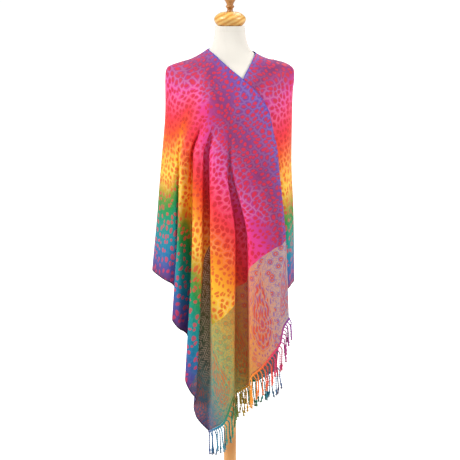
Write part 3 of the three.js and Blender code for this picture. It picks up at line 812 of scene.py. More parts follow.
    @staticmethod
    def _blossoms(group: GroupSheet, settled: Socket) -> tuple[Socket, Socket]:
        """Five-petalled blossoms a few centimetres apart, and the fine rim round each."""
        per_metre, radius, wave = 40.0, 0.25, 0.08
        near = group.cells(settled, per_metre, "F1", 0.7)
        scaled = group.vector("SCALE", settled)
        scaled.inputs["Scale"].default_value = per_metre
        ray = group.node("ShaderNodeSeparateXYZ")
        from_middle = group.vector("SUBTRACT", scaled.outputs[0], near.outputs["Position"])
        group.feed(ray.inputs[0], from_middle.outputs[0])
        angle = group.math("ARCTAN2", ray.outputs["Y"], ray.outputs["X"])
        petals = group.math("COSINE", group.math("MULTIPLY", angle, 5.0))
        outline = group.math("MULTIPLY_ADD", petals, wave, radius)
        beyond = group.math("SUBTRACT", near.outputs["Distance"], outline)
        heart = group.step(near.outputs["Distance"], 0.07, 0.1)
        rim = group.step(group.math("ABSOLUTE", group.math("SUBTRACT", beyond, 0.07)), 0.05, 0.02)
        return group.math("MULTIPLY", group.step(beyond, 0.02, -0.04), heart), rim


@dataclass(frozen=True)
class TwistedYarn:
    """The fringe's yarns, dyed like the cloth but fuller, each strand a little different."""

    variation: float = 0.05
    worn_from: float = 0.86
    wear: float = 0.3

    def material(self) -> bpy.types.Material:
        """Dresses the fringe, whose mesh carries the attributes across, along and shade."""
        material, sheet, shader = new_material(
            "fringe_yarn_twisted",
            Specular_IOR_Level=0.2,
            Sheen_Weight=0.3,
            Sheen_Roughness=0.5,
            Roughness=0.7,
        )
        across, along, shade = (
            sheet.node("ShaderNodeAttribute", attribute_name=name).outputs["Fac"]
            for name in ("across", "along", "shade")
        )
        strayed = sheet.math("MULTIPLY_ADD", shade, self.variation, -self.variation / 2)
        colour = sheet.ramp(sheet.math("ADD", across, strayed), YARN_DYE)
        worn = sheet.math("MULTIPLY", sheet.step(along, self.worn_from, 1.0), self.wear)
        colour = sheet.mix(worn, colour, paint(226, 196, 160))
        spot = sheet.node("ShaderNodeTexCoord").outputs["Object"]
        fibres = sheet.noise(spot, 1400.0, 3.0).outputs["Fac"]
        light = sheet.mix(0.5, colour, paint(250, 226, 190))
        colour = sheet.mix(sheet.step(fibres, 0.58, 0.75), colour, light)
        sheet.feed(shader.inputs["Base Color"], colour)
        sheet.feed(shader.inputs["Normal"], sheet.bump(fibres, 0.5, 0.0006))
        return material


@dataclass(frozen=True)
class JerseyCover:
    """The form's cream jersey, drawn smooth, with a seam down each side and round the neck."""

    shared: SharedEffects
    girth_radius: float = 120.0
    neck_seam: float = 1508.0
    seam_shade: float = 0.15

    def material(self) -> bpy.types.Material:
        """Dresses the form."""
        material, sheet, shader = new_material(
            "form_cream_jersey", Specular_IOR_Level=0.2, Sheen_Weight=0.15, Sheen_Roughness=0.5
        )
        spot = sheet.node("ShaderNodeTexCoord").outputs["Object"]
        parts = sheet.node("ShaderNodeSeparateXYZ")
        sheet.feed(parts.inputs[0], spot)
        turn = sheet.math("ARCTAN2", parts.outputs["X"], parts.outputs["Y"])
        wrapped = sheet.node("ShaderNodeCombineXYZ")
        sheet.feed(wrapped.inputs[0], sheet.math("MULTIPLY", turn, self.girth_radius * MM))
        sheet.feed(wrapped.inputs[1], parts.outputs["Z"])
        weave = sheet.group(self.shared.weave, Vector=wrapped.outputs[0], Threads=600.0, Unevenness=0.6)
        wear = sheet.group(self.shared.wear, Vector=spot, Patch=7.0)
        seam = self._seams(sheet, turn, parts.outputs["Z"])
        colour = sheet.mix(wear.outputs["Cloud"], paint(232, 227, 217), paint(226, 220, 209))
        colour = sheet.mix(sheet.math("MULTIPLY", seam, self.seam_shade), colour, paint(214, 206, 190))
        sheet.feed(shader.inputs["Base Color"], colour)
        height = sheet.math("SUBTRACT", sheet.math("MULTIPLY", weave.outputs["Height"], 0.25), seam)
        sheet.feed(shader.inputs["Normal"], sheet.bump(height, 0.4, 0.0008))
        sheet.feed(shader.inputs["Roughness"], sheet.math("MULTIPLY_ADD", weave.outputs["Fleck"], 0.1, 0.8))
        return material

    def _seams(self, sheet: NodeSheet, turn: Socket, height: Socket) -> Socket:
        """The seam down each side, by the turn round the form, and the one round the neck, by height."""
        from_side = sheet.math("SUBTRACT", sheet.math("ABSOLUTE", turn), math.pi / 2)
        from_neck = sheet.math("SUBTRACT", height, self.neck_seam * MM)
        side = sheet.step(sheet.math("ABSOLUTE", from_side), 0.012, 0.004)
        neck = sheet.step(sheet.math("ABSOLUTE", from_neck), 0.0022, 0.0008)
        return sheet.math("MAXIMUM", side, neck)


class WoodTone(Enum):
    """The stand's varnished woods: light band, dark band and pores."""

    HONEY = ("cap_honey_wood", paint(242, 198, 112), paint(212, 142, 52), paint(166, 96, 34))
    BROWN = ("finial_brown_wood", paint(196, 138, 74), paint(158, 98, 44), paint(104, 58, 26))
    WARM = ("stand_warm_wood", paint(212, 154, 88), paint(190, 126, 62), paint(146, 88, 42))


@dataclass(frozen=True)
class VarnishedWood:
    """Turned wood under a thin varnish."""

    shared: SharedEffects
    tone: WoodTone
    bands: float
    lean: tuple[float, float, float]
    stretch: tuple[float, float, float] = (1.0, 1.0, 0.12)
    pore_depth: float = 0.4
    handling: float = 0.18

    def material(self) -> bpy.types.Material:
        """Dresses one of the stand's pieces."""
        name, light, dark, pore = self.tone.value
        material, sheet, shader = new_material(
            name, Specular_IOR_Level=0.45, Coat_Weight=0.35, Coat_Roughness=0.18
        )
        spot = sheet.node("ShaderNodeTexCoord").outputs["Object"]
        leaned = sheet.node("ShaderNodeMapping")
        leaned.inputs["Rotation"].default_value = self.lean
        leaned.inputs["Scale"].default_value = self.stretch
        sheet.feed(leaned.inputs["Vector"], spot)
        grain = sheet.group(self.shared.wood_grain, Vector=leaned.outputs[0], Bands=self.bands, Wander=2.2)
        wear = sheet.group(self.shared.wear, Vector=spot, Patch=20.0)
        colour = sheet.mix(grain.outputs["Band"], light, dark)
        pores = sheet.math("MULTIPLY", sheet.step(grain.outputs["Pores"], 0.55, 0.72), self.pore_depth)
        colour = sheet.mix(pores, colour, pore)
        handled = sheet.math("MULTIPLY", wear.outputs["Cloud"], self.handling)
        colour = sheet.mix(handled, colour, light)
        sheet.feed(shader.inputs["Base Color"], colour)
        sheet.feed(shader.inputs["Roughness"], sheet.math("MULTIPLY_ADD", wear.outputs["Cloud"], 0.2, 0.3))
        sheet.feed(shader.inputs["Normal"], sheet.bump(grain.outputs["Pores"], 0.15, 0.0004))
        return material


# ---------------------------------------------------------------- the dress form
class Section(NamedTuple):
    """One level of the form: half its width, and its depth before and behind the pole."""

    z: float
    side: float
    front: float
    back: float


FORM_SECTIONS = (
    Section(792, 118, 70, 76),
    Section(800, 134, 84, 92),
    Section(820, 142, 89, 99),
    Section(860, 146, 90, 101),
    Section(950, 136, 84, 92),
    Section(1050, 121, 76, 78),
    Section(1130, 130, 86, 82),
    Section(1200, 144, 104, 88),
    Section(1250, 152, 112, 92),
    Section(1300, 158, 105, 94),
    Section(1350, 166, 88, 92),
    Section(1380, 171, 76, 86),
    Section(1396, 171, 68, 80),
    Section(1408, 167, 62, 74),
    Section(1417, 148, 58, 70),
    Section(1427, 113, 55, 66),
    Section(1438, 83, 53, 62),
    Section(1448, 67, 51, 58),
    Section(1458, 57, 49, 55),
    Section(1470, 50, 46, 51),
    Section(1485, 45.5, 43, 47),
    Section(1502, 42.5, 41, 43),
    Section(1522, 40.5, 40, 41),
)


@dataclass
class DressForm:
    """The limbless form that the shawl rests on."""

    cover: JerseyCover
    squareness: float = 2.3
    segments: int = 96
    level_height: float = 6.0
    rounding_levels: tuple[float, float] = (796.0, 806.0)
    crisp_from: float = 50.0
    levels: Array = field(default_factory=lambda: np.array([row.z for row in FORM_SECTIONS], float))

    def size(self, column: str, z: Array) -> Array:
        """Reads one of the form's sizes at heights z."""
        values = np.array([getattr(row, column) for row in FORM_SECTIONS], float)
        inside = np.clip(z, self.levels[0], self.levels[-1])
        return through(self.levels, values, inside.ravel()).reshape(z.shape)

    def share(self, places: Array) -> Array:
        """How far out places are, as a share of the form's surface at their height: 1 on it, more outside."""
        x, y, z = places[..., 0], places[..., 1], places[..., 2]
        side = np.abs(x) / self.size("side", z)
        deep = np.abs(y) / np.where(y < 0, self.size("front", z), self.size("back", z))
        return (side**self.squareness + deep**self.squareness) ** (1 / self.squareness)

    def surface(self, turn: Array, z: Array, out: Array | float = 0.0) -> Array:
        """The form's surface at turn degrees round from the centre back, or out millimetres off it."""
        angle = np.radians(turn)
        ray = np.stack([-np.sin(angle), np.cos(angle), np.broadcast_to(z, angle.shape)], -1)
        reach = 1 / self.share(ray) + out
        return np.stack([ray[..., 0] * reach, ray[..., 1] * reach, ray[..., 2]], -1)

    def clear(self, places: Array, room: Array, softness: float = 5.0) -> Array:
        """Moves places out of the form until they have room to it, gently where they are nearly clear."""
        slope = np.stack(
            [(self.share(places + step) - self.share(places - step)) / 2 for step in np.eye(3)], axis=-1
        )
        steepness = np.linalg.norm(slope, axis=-1)
        short = room - (self.share(places) - 1) / steepness
        push = (short + np.hypot(short, softness)) / 2
        return places + slope * (push / steepness)[..., None]

    def build(self) -> bpy.types.Object:
        """Models the form as one closed skin and dresses it.

        Returns:
            The form's piece.
        """
        bottom, top = self.levels[0], self.levels[-1]
        steps = int((top - bottom) / self.level_height)
        heights = np.unique([*np.linspace(bottom, top, steps), *self.rounding_levels])
        turns = np.linspace(0, 360, self.segments + 1)
        turn, z = np.meshgrid(turns, heights[::-1], indexing="ij")
        bm = bmesh.new()
        grid_into(bm, self.surface(turn, z) * MM)
        bmesh.ops.remove_doubles(bm, verts=bm.verts, dist=1e-6)
        rims = [edge for edge in bm.edges if edge.is_boundary]
        bmesh.ops.holes_fill(bm, edges=rims, sides=self.segments)
        bmesh.ops.recalc_face_normals(bm, faces=bm.faces)
        piece = finished(bm, "dress_form", [self.cover.material()])
        sharpen(piece, self.crisp_from)
        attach(piece, "root")
        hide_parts("torso_form")
        return piece


# ---------------------------------------------------------------- the stand
class Ring(NamedTuple):
    """One level of a turned piece."""

    z: float
    radius: float


FINIAL = (
    Ring(1636, 0), Ring(1635.8, 3), Ring(1634.6, 6.2), Ring(1632, 9.8), Ring(1628, 12.6),
    Ring(1623, 14.9), Ring(1617, 16.6), Ring(1611, 17.5), Ring(1605, 17.8), Ring(1599, 17.4),
    Ring(1594, 16.2), Ring(1589, 14), Ring(1584, 10.8), Ring(1580, 9), Ring(1577.4, 8.9),
    Ring(1576.6, 9.8), Ring(1575.8, 10.8), Ring(1574.6, 11.4), Ring(1572.6, 11.4), Ring(1571.4, 10.8),
    Ring(1570.4, 9.4), Ring(1569.4, 8.3), Ring(1565, 7.4), Ring(1562, 8), Ring(1560.3, 9.4),
    Ring(1560.1, 0),
)
CAP = (
    Ring(1560, 0), Ring(1560, 14), Ring(1559.4, 19), Ring(1558, 25), Ring(1555, 31), Ring(1551, 36.5),
    Ring(1547, 40.2), Ring(1543.6, 42.3), Ring(1540.6, 43), Ring(1537.6, 42.9), Ring(1534, 41.8),
    Ring(1530.5, 40), Ring(1527, 37.6), Ring(1524.4, 35), Ring(1522.6, 32), Ring(1522.2, 28),
    Ring(1522.1, 0),
)
POLE = (
    Ring(792, 0), Ring(792, 17), Ring(791, 17.8), Ring(788, 18), Ring(620, 18), Ring(450, 18),
    Ring(280, 18), Ring(110, 18), Ring(29, 18), Ring(26, 17.8), Ring(25, 17), Ring(25, 0),
)
BASE = (
    Ring(25, 0), Ring(25, 60), Ring(25, 120), Ring(25, 144), Ring(24.4, 149.5), Ring(23, 153),
    Ring(21, 157), Ring(18, 160), Ring(14.8, 162.6), Ring(11, 164), Ring(7, 164.8), Ring(4, 165),
    Ring(1.4, 164.4), Ring(0.2, 163), Ring(0, 161), Ring(0, 80), Ring(0, 0),
)


@dataclass
class WoodenStand:
    """Finial, neck cap, pole and base, each turned from one profile."""

    shared: SharedEffects
    steps: int = 72
    crisp_from: float = 42.0

    def build(self) -> list[bpy.types.Object]:
        """Turns the four pieces and dresses them.

        Returns:
            The stand's pieces, from the top down.
        """
        honey = VarnishedWood(self.shared, WoodTone.HONEY, 34.0, (0.5, 0.35, 0.2), (1.0, 1.0, 0.8)).material()
        brown = VarnishedWood(self.shared, WoodTone.BROWN, 30.0, (0.1, 0.2, 0.0)).material()
        warm = VarnishedWood(self.shared, WoodTone.WARM, 26.0, (0.02, 0.03, 0.0)).material()
        return [
            self._turn("finial_turned", FINIAL, brown, "finial"),
            self._turn("neck_cap_turned", CAP, honey, "neck_cap"),
            self._turn("pole_turned", POLE, warm, "pole"),
            self._turn("base_turned", BASE, warm, "base"),
        ]

    def _turn(
        self, name: str, profile: Sequence[Ring], wood: bpy.types.Material, node: str
    ) -> bpy.types.Object:
        """Spins a profile into a closed piece.

        Args:
            name: The piece's name.
            profile: Its rings from the top down, both ends on the axis.
            wood: Its material.
            node: The CAD node that it replaces.

        Returns:
            The piece.
        """
        bm = bmesh.new()
        line = [bm.verts.new((ring.radius * MM, 0.0, ring.z * MM)) for ring in profile]
        edges = [bm.edges.new(pair) for pair in zip(line, line[1:])]
        bmesh.ops.spin(
            bm,
            geom=[*line, *edges],
            cent=(0, 0, 0),
            axis=(0, 0, 1),
            angle=2 * math.pi,
            steps=self.steps,
            use_merge=True,
        )
        bmesh.ops.remove_doubles(bm, verts=bm.verts, dist=1e-6)
        bmesh.ops.recalc_face_normals(bm, faces=bm.faces)
        piece = finished(bm, name, [wood])
        sharpen(piece, self.crisp_from)
        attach(piece, "root")
        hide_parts(node)
        return piece


# ---------------------------------------------------------------- the drape's tables
class EdgePlace(NamedTuple):
    """A place on the neck edge, s millimetres from the centre back."""

    s: float
    x: float
    y: float
    z: float


@dataclass(frozen=True)
class PlumbLine:
    """A line in which the cloth hangs.

    Attributes:
        name: What the line runs down.
        start: Where it starts on the neck edge, from the centre back.
        turn: Degrees round the form to its bend, 0 at the centre back and 180 in front.
        bend: Height of the bend.
        high: Where it hangs at the upper level, as x and y.
        low: Where it hangs at the lower level.
        end: Where it ends.
        cut: The end's place on the cut edge, along the hem and then up the fringed end.
        out: How far off the form the bend is.
        slip: How far the cloth's pattern lies further towards the fringed end half way down.
        columns: Grid columns up to the next line.
        hatch_and_shade: How far the figured end's hatching comes to the front there, with its dark ground as
            painted shade in the deep hollow.
        dip: How far the cloth's pattern lies further from the neck edge half way down.
    """

    name: str
    start: float
    turn: float
    bend: float
    high: tuple[float, float]
    low: tuple[float, float]
    end: tuple[float, float, float]
    cut: float
    out: float = 0.0
    slip: float = 0.0
    columns: int = 8
    hatch_and_shade: float = 0.0
    dip: float = 0.0

    def mirrored(self) -> "PlumbLine":
        """The same line with its places counted the other way round the form, for the side beneath."""
        return replace(self, start=-self.start, turn=-self.turn, cut=-self.cut, slip=-self.slip)


OVER_EDGE = (
    EdgePlace(0, 0, 66, 1456),
    EdgePlace(60, -44, 46, 1459),
    EdgePlace(95, -58, 12, 1459),
    EdgePlace(140, -36, -34, 1441),
    EdgePlace(190, -4, -58, 1411),
    EdgePlace(245, 34, -78, 1382),
    EdgePlace(320, 79, -96, 1342),
    EdgePlace(350, 95, -104, 1318),
    EdgePlace(380, 106, -110, 1292),
    EdgePlace(422, 115, -117, 1252),
    EdgePlace(475, 126, -124, 1200),
    EdgePlace(560, 139, -130, 1120),
    EdgePlace(640, 147, -132, 1040),
)
UNDER_EDGE = (
    EdgePlace(60, 46, 46, 1453),
    EdgePlace(97, 63, 10, 1448),
    EdgePlace(150, 55, -34, 1421),
    EdgePlace(205, 35, -72, 1383),
    EdgePlace(265, 18, -92, 1336),
    EdgePlace(322, -1, -104, 1286),
    EdgePlace(376, -20, -112, 1236),
    EdgePlace(470, -50, -108, 1150),
    EdgePlace(576, -76, -100, 1050),
)
OVER_LINES = (
    PlumbLine("centre back", 0, 0, 1330, (0, 106), (0, 116), (0, 122, 783), 0, columns=5),
    PlumbLine("back hollow 1", 30, 24, 1332, (-40, 98), (-42, 96), (-44, 98, 786), 51, columns=5),
    PlumbLine("back flute 1", 52, 45, 1340, (-84, 99), (-90, 114), (-96, 127, 793), 108, columns=5),
    PlumbLine("back hollow 2", 68, 60, 1356, (-124, 80), (-131, 82), (-136, 86, 804), 160, columns=5),
    PlumbLine("back flute 2", 82, 76, 1384, (-157, 56), (-172, 70), (-181, 84, 820), 210, columns=6, dip=-20),
    PlumbLine("arm", 95, 92, 1405, (-184, 2), (-207, 10), (-219, 14, 844), 262, columns=6, dip=-38),
    PlumbLine(
        "arm hollow", 103, 108, 1398, (-172, -46), (-188, -40), (-198, -40, 838), 306,
        columns=6, dip=-36,
    ),
    PlumbLine("arm flap", 112, 122, 1362, (-148, -84), (-160, -84), (-163, -84, 828), 346, columns=5, dip=-4),
    PlumbLine(
        "flap turn", 117, 128, 1340, (-141, -91), (-148, -88), (-150, -84, 814), 374,
        columns=6, dip=36,
    ),
    PlumbLine("arm tuck", 120, 131, 1328, (-135, -91), (-136, -77), (-134, -66, 788), 406, columns=6, dip=40),
    PlumbLine(
        "arm tuck side", 123, 134, 1316, (-129, -100), (-126, -94), (-131, -88, 756), 448,
        columns=6, dip=34,
    ),
    PlumbLine(
        "fourth flute edge", 127, 138, 1316, (-132, -109), (-142, -121), (-158, -120, 734), 488,
        columns=5, dip=24,
    ),
    PlumbLine("fourth flute", 132, 142, 1310, (-124, -116), (-136, -132), (-142, -128, 712), 515, columns=6),
    PlumbLine(
        "fourth flute side", 138, 146, 1304, (-111, -116), (-119, -116), (-120, -112, 692), 548,
        columns=8, dip=14,
    ),
    PlumbLine(
        "third hollow", 142, 149, 1298, (-102, -104), (-106, -104), (-107, -102, 642), 606,
        columns=6, dip=8,
    ),
    PlumbLine(
        "third hollow side", 144.5, 150.5, 1295, (-98, -111), (-98, -117), (-103, -113, 606), 650,
        columns=6, dip=-6,
    ),
    PlumbLine(
        "third flute edge", 147, 152, 1292, (-97, -124), (-101, -139), (-123, -138, 570), 690,
        columns=7, dip=-20,
    ),
    PlumbLine(
        "third flute", 152, 155, 1288, (-86, -133), (-90, -150), (-110, -146, 538), 736,
        columns=7, dip=-24,
    ),
    PlumbLine(
        "third flute side", 158, 158, 1284, (-75, -128), (-76, -138), (-93, -133, 510), 782,
        columns=6, dip=-28,
    ),
    # the three lines of the deep hollow carry the hatching and its painted shade
    PlumbLine(
        "second hollow", 163, 160, 1282, (-69, -107), (-70, -112), (-101, -121, 484), 816,
        slip=200, columns=12, hatch_and_shade=1, dip=-35,
    ),
    PlumbLine(
        "low fold", 166.5, 161.5, 1281, (-64.5, -105.5), (-62.5, -110), (-94, -123, 457), 874,
        slip=190, columns=8, hatch_and_shade=1, dip=-35,
    ),
    PlumbLine(
        "second hollow side", 170, 163, 1280, (-60, -107), (-55, -109), (-61, -122, 418), OVER_REACH,
        slip=180, columns=8, hatch_and_shade=1, dip=-35,
    ),
    PlumbLine(
        "second flute edge", 178, 166, 1278, (-51, -129), (-50, -146), (-46, -140, 430), OVER_REACH + 52,
        slip=14, columns=9, dip=-26,
    ),
    PlumbLine(
        "second flute", 190, 171, 1276, (-33, -138), (-20, -155), (-20, -150, 450), OVER_REACH + 132,
        slip=19, columns=11, dip=-20,
    ),
    PlumbLine(
        "second flute side", 205, 177, 1274, (-15, -134), (12, -146), (8, -138, 520), OVER_REACH + 226,
        columns=7, dip=-14,
    ),
    PlumbLine(
        "first hollow", 215, 180, 1272, (-8, -126), (17, -109), (18, -112, 528), OVER_REACH + 266,
        slip=34, columns=9, dip=-14,
    ),
    PlumbLine(
        "first hollow side", 228, 184, 1270, (0, -126), (43, -109), (49, -112, 548), OVER_REACH + 346,
        out=3, slip=32, columns=7, dip=-10,
    ),
    PlumbLine(
        "first flute edge", 245, 188, 1268, (10, -134), (50, -147), (57, -146, 582), OVER_REACH + 386,
        out=6, slip=47, columns=8, dip=-4,
    ),
    PlumbLine(
        "first flute", 272, 196, 1264, (36, -139), (74, -157), (86, -156, 612), OVER_REACH + 446,
        out=9, slip=48, columns=8, dip=4,
    ),
    PlumbLine(
        "first flute middle", 302, 208, 1256, (64, -140), (100, -156), (112, -153, 646), OVER_REACH + 510,
        out=16, slip=40, columns=8, dip=12,
    ),
    PlumbLine(
        "first flute turn", 334, 218, 1244, (92, -138), (124, -150), (134, -146, 676), OVER_REACH + 566,
        out=26, slip=31, columns=8, dip=14,
    ),
    PlumbLine(
        "edge flute", 358, 221, 1220, (114, -133), (140, -142), (143, -140, 718), OVER_REACH + 628,
        out=40, slip=13, columns=8,
    ),
    PlumbLine(
        "free edge", 380, 225.5, 1200, (128, -127), (150, -134), (160, -131, 744), OVER_REACH + CLOTH_WIDTH,
        out=52, slip=6, columns=8,
    ),
)
UNDER_LINES = (
    PlumbLine("back hollow 3", 32, 24, 1332, (44, 99), (48, 99), (52, 102, 786), 56, columns=5),
    PlumbLine("back flute 3", 54, 48, 1342, (92, 95), (101, 108), (106, 118, 791), 116, columns=5),
    PlumbLine("back hollow 4", 72, 66, 1362, (130, 71), (139, 69), (143, 72, 802), 172, columns=5),
    PlumbLine("back flute 4", 85, 80, 1388, (156, 44), (166, 50), (169, 56, 811), 212, columns=5, dip=-20),
    PlumbLine("arm", 97, 92, 1402, (169, 2), (178, 8), (181, 12, 815), 256, columns=5, dip=-40),
    PlumbLine("arm hollow", 106, 110, 1391, (160, -48), (168, -44), (171, -44, 816), 306, columns=6, dip=-44),
    PlumbLine("arm front", 118, 128, 1340, (140, -82), (156, -86), (160, -82, 812), 350, columns=6, dip=-42),
    PlumbLine(
        "side hollow", 132, 139, 1300, (122, -98), (138, -94), (148, -88, 760), 430,
        columns=8, dip=-32,
    ),
    PlumbLine(
        "side flute", 150, 145, 1276, (106, -108), (120, -101), (140, -98, 690), 540,
        columns=9, dip=-18,
    ),
    PlumbLine(
        "corner hollow", 170, 149.5, 1264, (88, -104), (104, -95), (134, -92, 640), 650,
        columns=9, dip=-8,
    ),
    PlumbLine("corner", 190, 154, 1258, (72, -107), (90, -98), (128, -96, 594), UNDER_REACH, columns=9),
    PlumbLine(
        "under flute 1", 215, 159.5, 1252, (54, -108), (68, -100), (96, -98, 572), UNDER_REACH + 90,
        columns=8,
    ),
    PlumbLine(
        "under hollow 1", 245, 166, 1250, (34, -105), (44, -94), (62, -92, 554), UNDER_REACH + 180,
        columns=7,
    ),
    PlumbLine(
        "under flute 2", 280, 173, 1248, (14, -108), (18, -100), (26, -98, 560), UNDER_REACH + 280,
        columns=6,
    ),
    PlumbLine(
        "under hollow 2", 330, 183, 1238, (-8, -105), (-14, -94), (-14, -92, 610), UNDER_REACH + 390,
        columns=6,
    ),
    PlumbLine(
        "under flute 3", 400, 197, 1190, (-36, -107), (-44, -99), (-46, -93, 680), UNDER_REACH + 500,
        out=8, columns=6,
    ),
    PlumbLine(
        "under hollow 3", 480, 210, 1085, (-61, -102), (-67, -92), (-71, -88, 766), UNDER_REACH + 600,
        out=32, columns=5,
    ),
    PlumbLine(
        "free edge", 576, 219, 1000, (-83, -96), (-86, -92), (-94, -87, 840), UNDER_REACH + CLOTH_WIDTH,
        out=32, columns=5,
    ),
)


class Crease(NamedTuple):
    """A soft ridge in the cloth, or a trough, between two places on the flat cloth.

    Attributes:
        s1: Where it starts along the flat cloth from the centre back, negative on the side beneath.
        t1: Where it starts across the flat cloth from the neck edge.
        s2: Where it ends along the flat cloth.
        t2: Where it ends across the flat cloth.
        width: How wide it is.
        height: How far it stands out, negative for a trough.
    """

    s1: float
    t1: float
    s2: float
    t2: float
    width: float
    height: float


CREASES = (
    # the chest, fanning down from the neck edge
    Crease(120, 18, 205, 190, 30, 3.4),
    Crease(132, 40, 262, 150, 24, -2.6),
    Crease(142, 20, 300, 96, 26, 3.6),
    Crease(160, 24, 330, 62, 20, -2.4),
    Crease(205, 20, 372, 44, 24, 3.0),
    Crease(250, 70, 400, 120, 34, -3.0),
    Crease(118, 60, 168, 200, 26, 2.6),
    Crease(300, 150, 420, 215, 26, 2.4),
    Crease(336, 34, 545, 76, 24, -4.0),
    Crease(330, 80, 550, 136, 26, 3.6),
    # the arm and the flap in front of it
    Crease(150, 190, 262, 560, 34, 3.6),
    Crease(170, 215, 330, 500, 22, -3.0),
    Crease(198, 225, 372, 560, 26, 3.4),
    Crease(130, 230, 190, 610, 30, 2.8),
    Crease(228, 230, 420, 640, 20, 2.6),
    Crease(286, 560, 350, 686, 22, 2.8),
    # the flutes in front
    Crease(430, 180, 650, 350, 16, 2.0),
    Crease(470, 190, 700, 330, 14, -1.8),
    Crease(520, 96, 730, 170, 26, 2.6),
    Crease(560, 60, 800, 110, 20, -2.2),
    Crease(610, 24, 850, 66, 22, 2.6),
    Crease(700, 150, 900, 210, 22, 2.2),
    Crease(740, 380, 905, 520, 20, 2.4),
    # the side beneath
    Crease(-118, 24, -190, 190, 26, 2.8),
    Crease(-132, 20, -262, 96, 20, -2.0),
    Crease(-150, 110, -206, 330, 26, 2.8),
    Crease(-172, 190, -230, 420, 20, -2.2),
    Crease(-186, 240, -268, 610, 24, 2.8),
    Crease(-260, 470, -330, 680, 22, 2.6),
    # the back
    Crease(-86, 30, -128, 300, 30, 2.6),
    Crease(-40, 26, -56, 330, 34, -2.6),
    Crease(10, 60, 26, 420, 30, 3.0),
    Crease(64, 36, 120, 260, 28, 2.6),
    Crease(44, 210, 62, 640, 26, -2.8),
    Crease(-20, 240, -34, 620, 24, 2.6),
    Crease(-104, 280, -150, 650, 24, 3.0),
    Crease(118, 300, 176, 660, 26, 3.0),
    Crease(78, 420, 104, 686, 18, 2.4),
    Crease(-70, 460, -84, 686, 18, -2.4),
    Crease(150, 120, 172, 420, 22, -2.2),
)


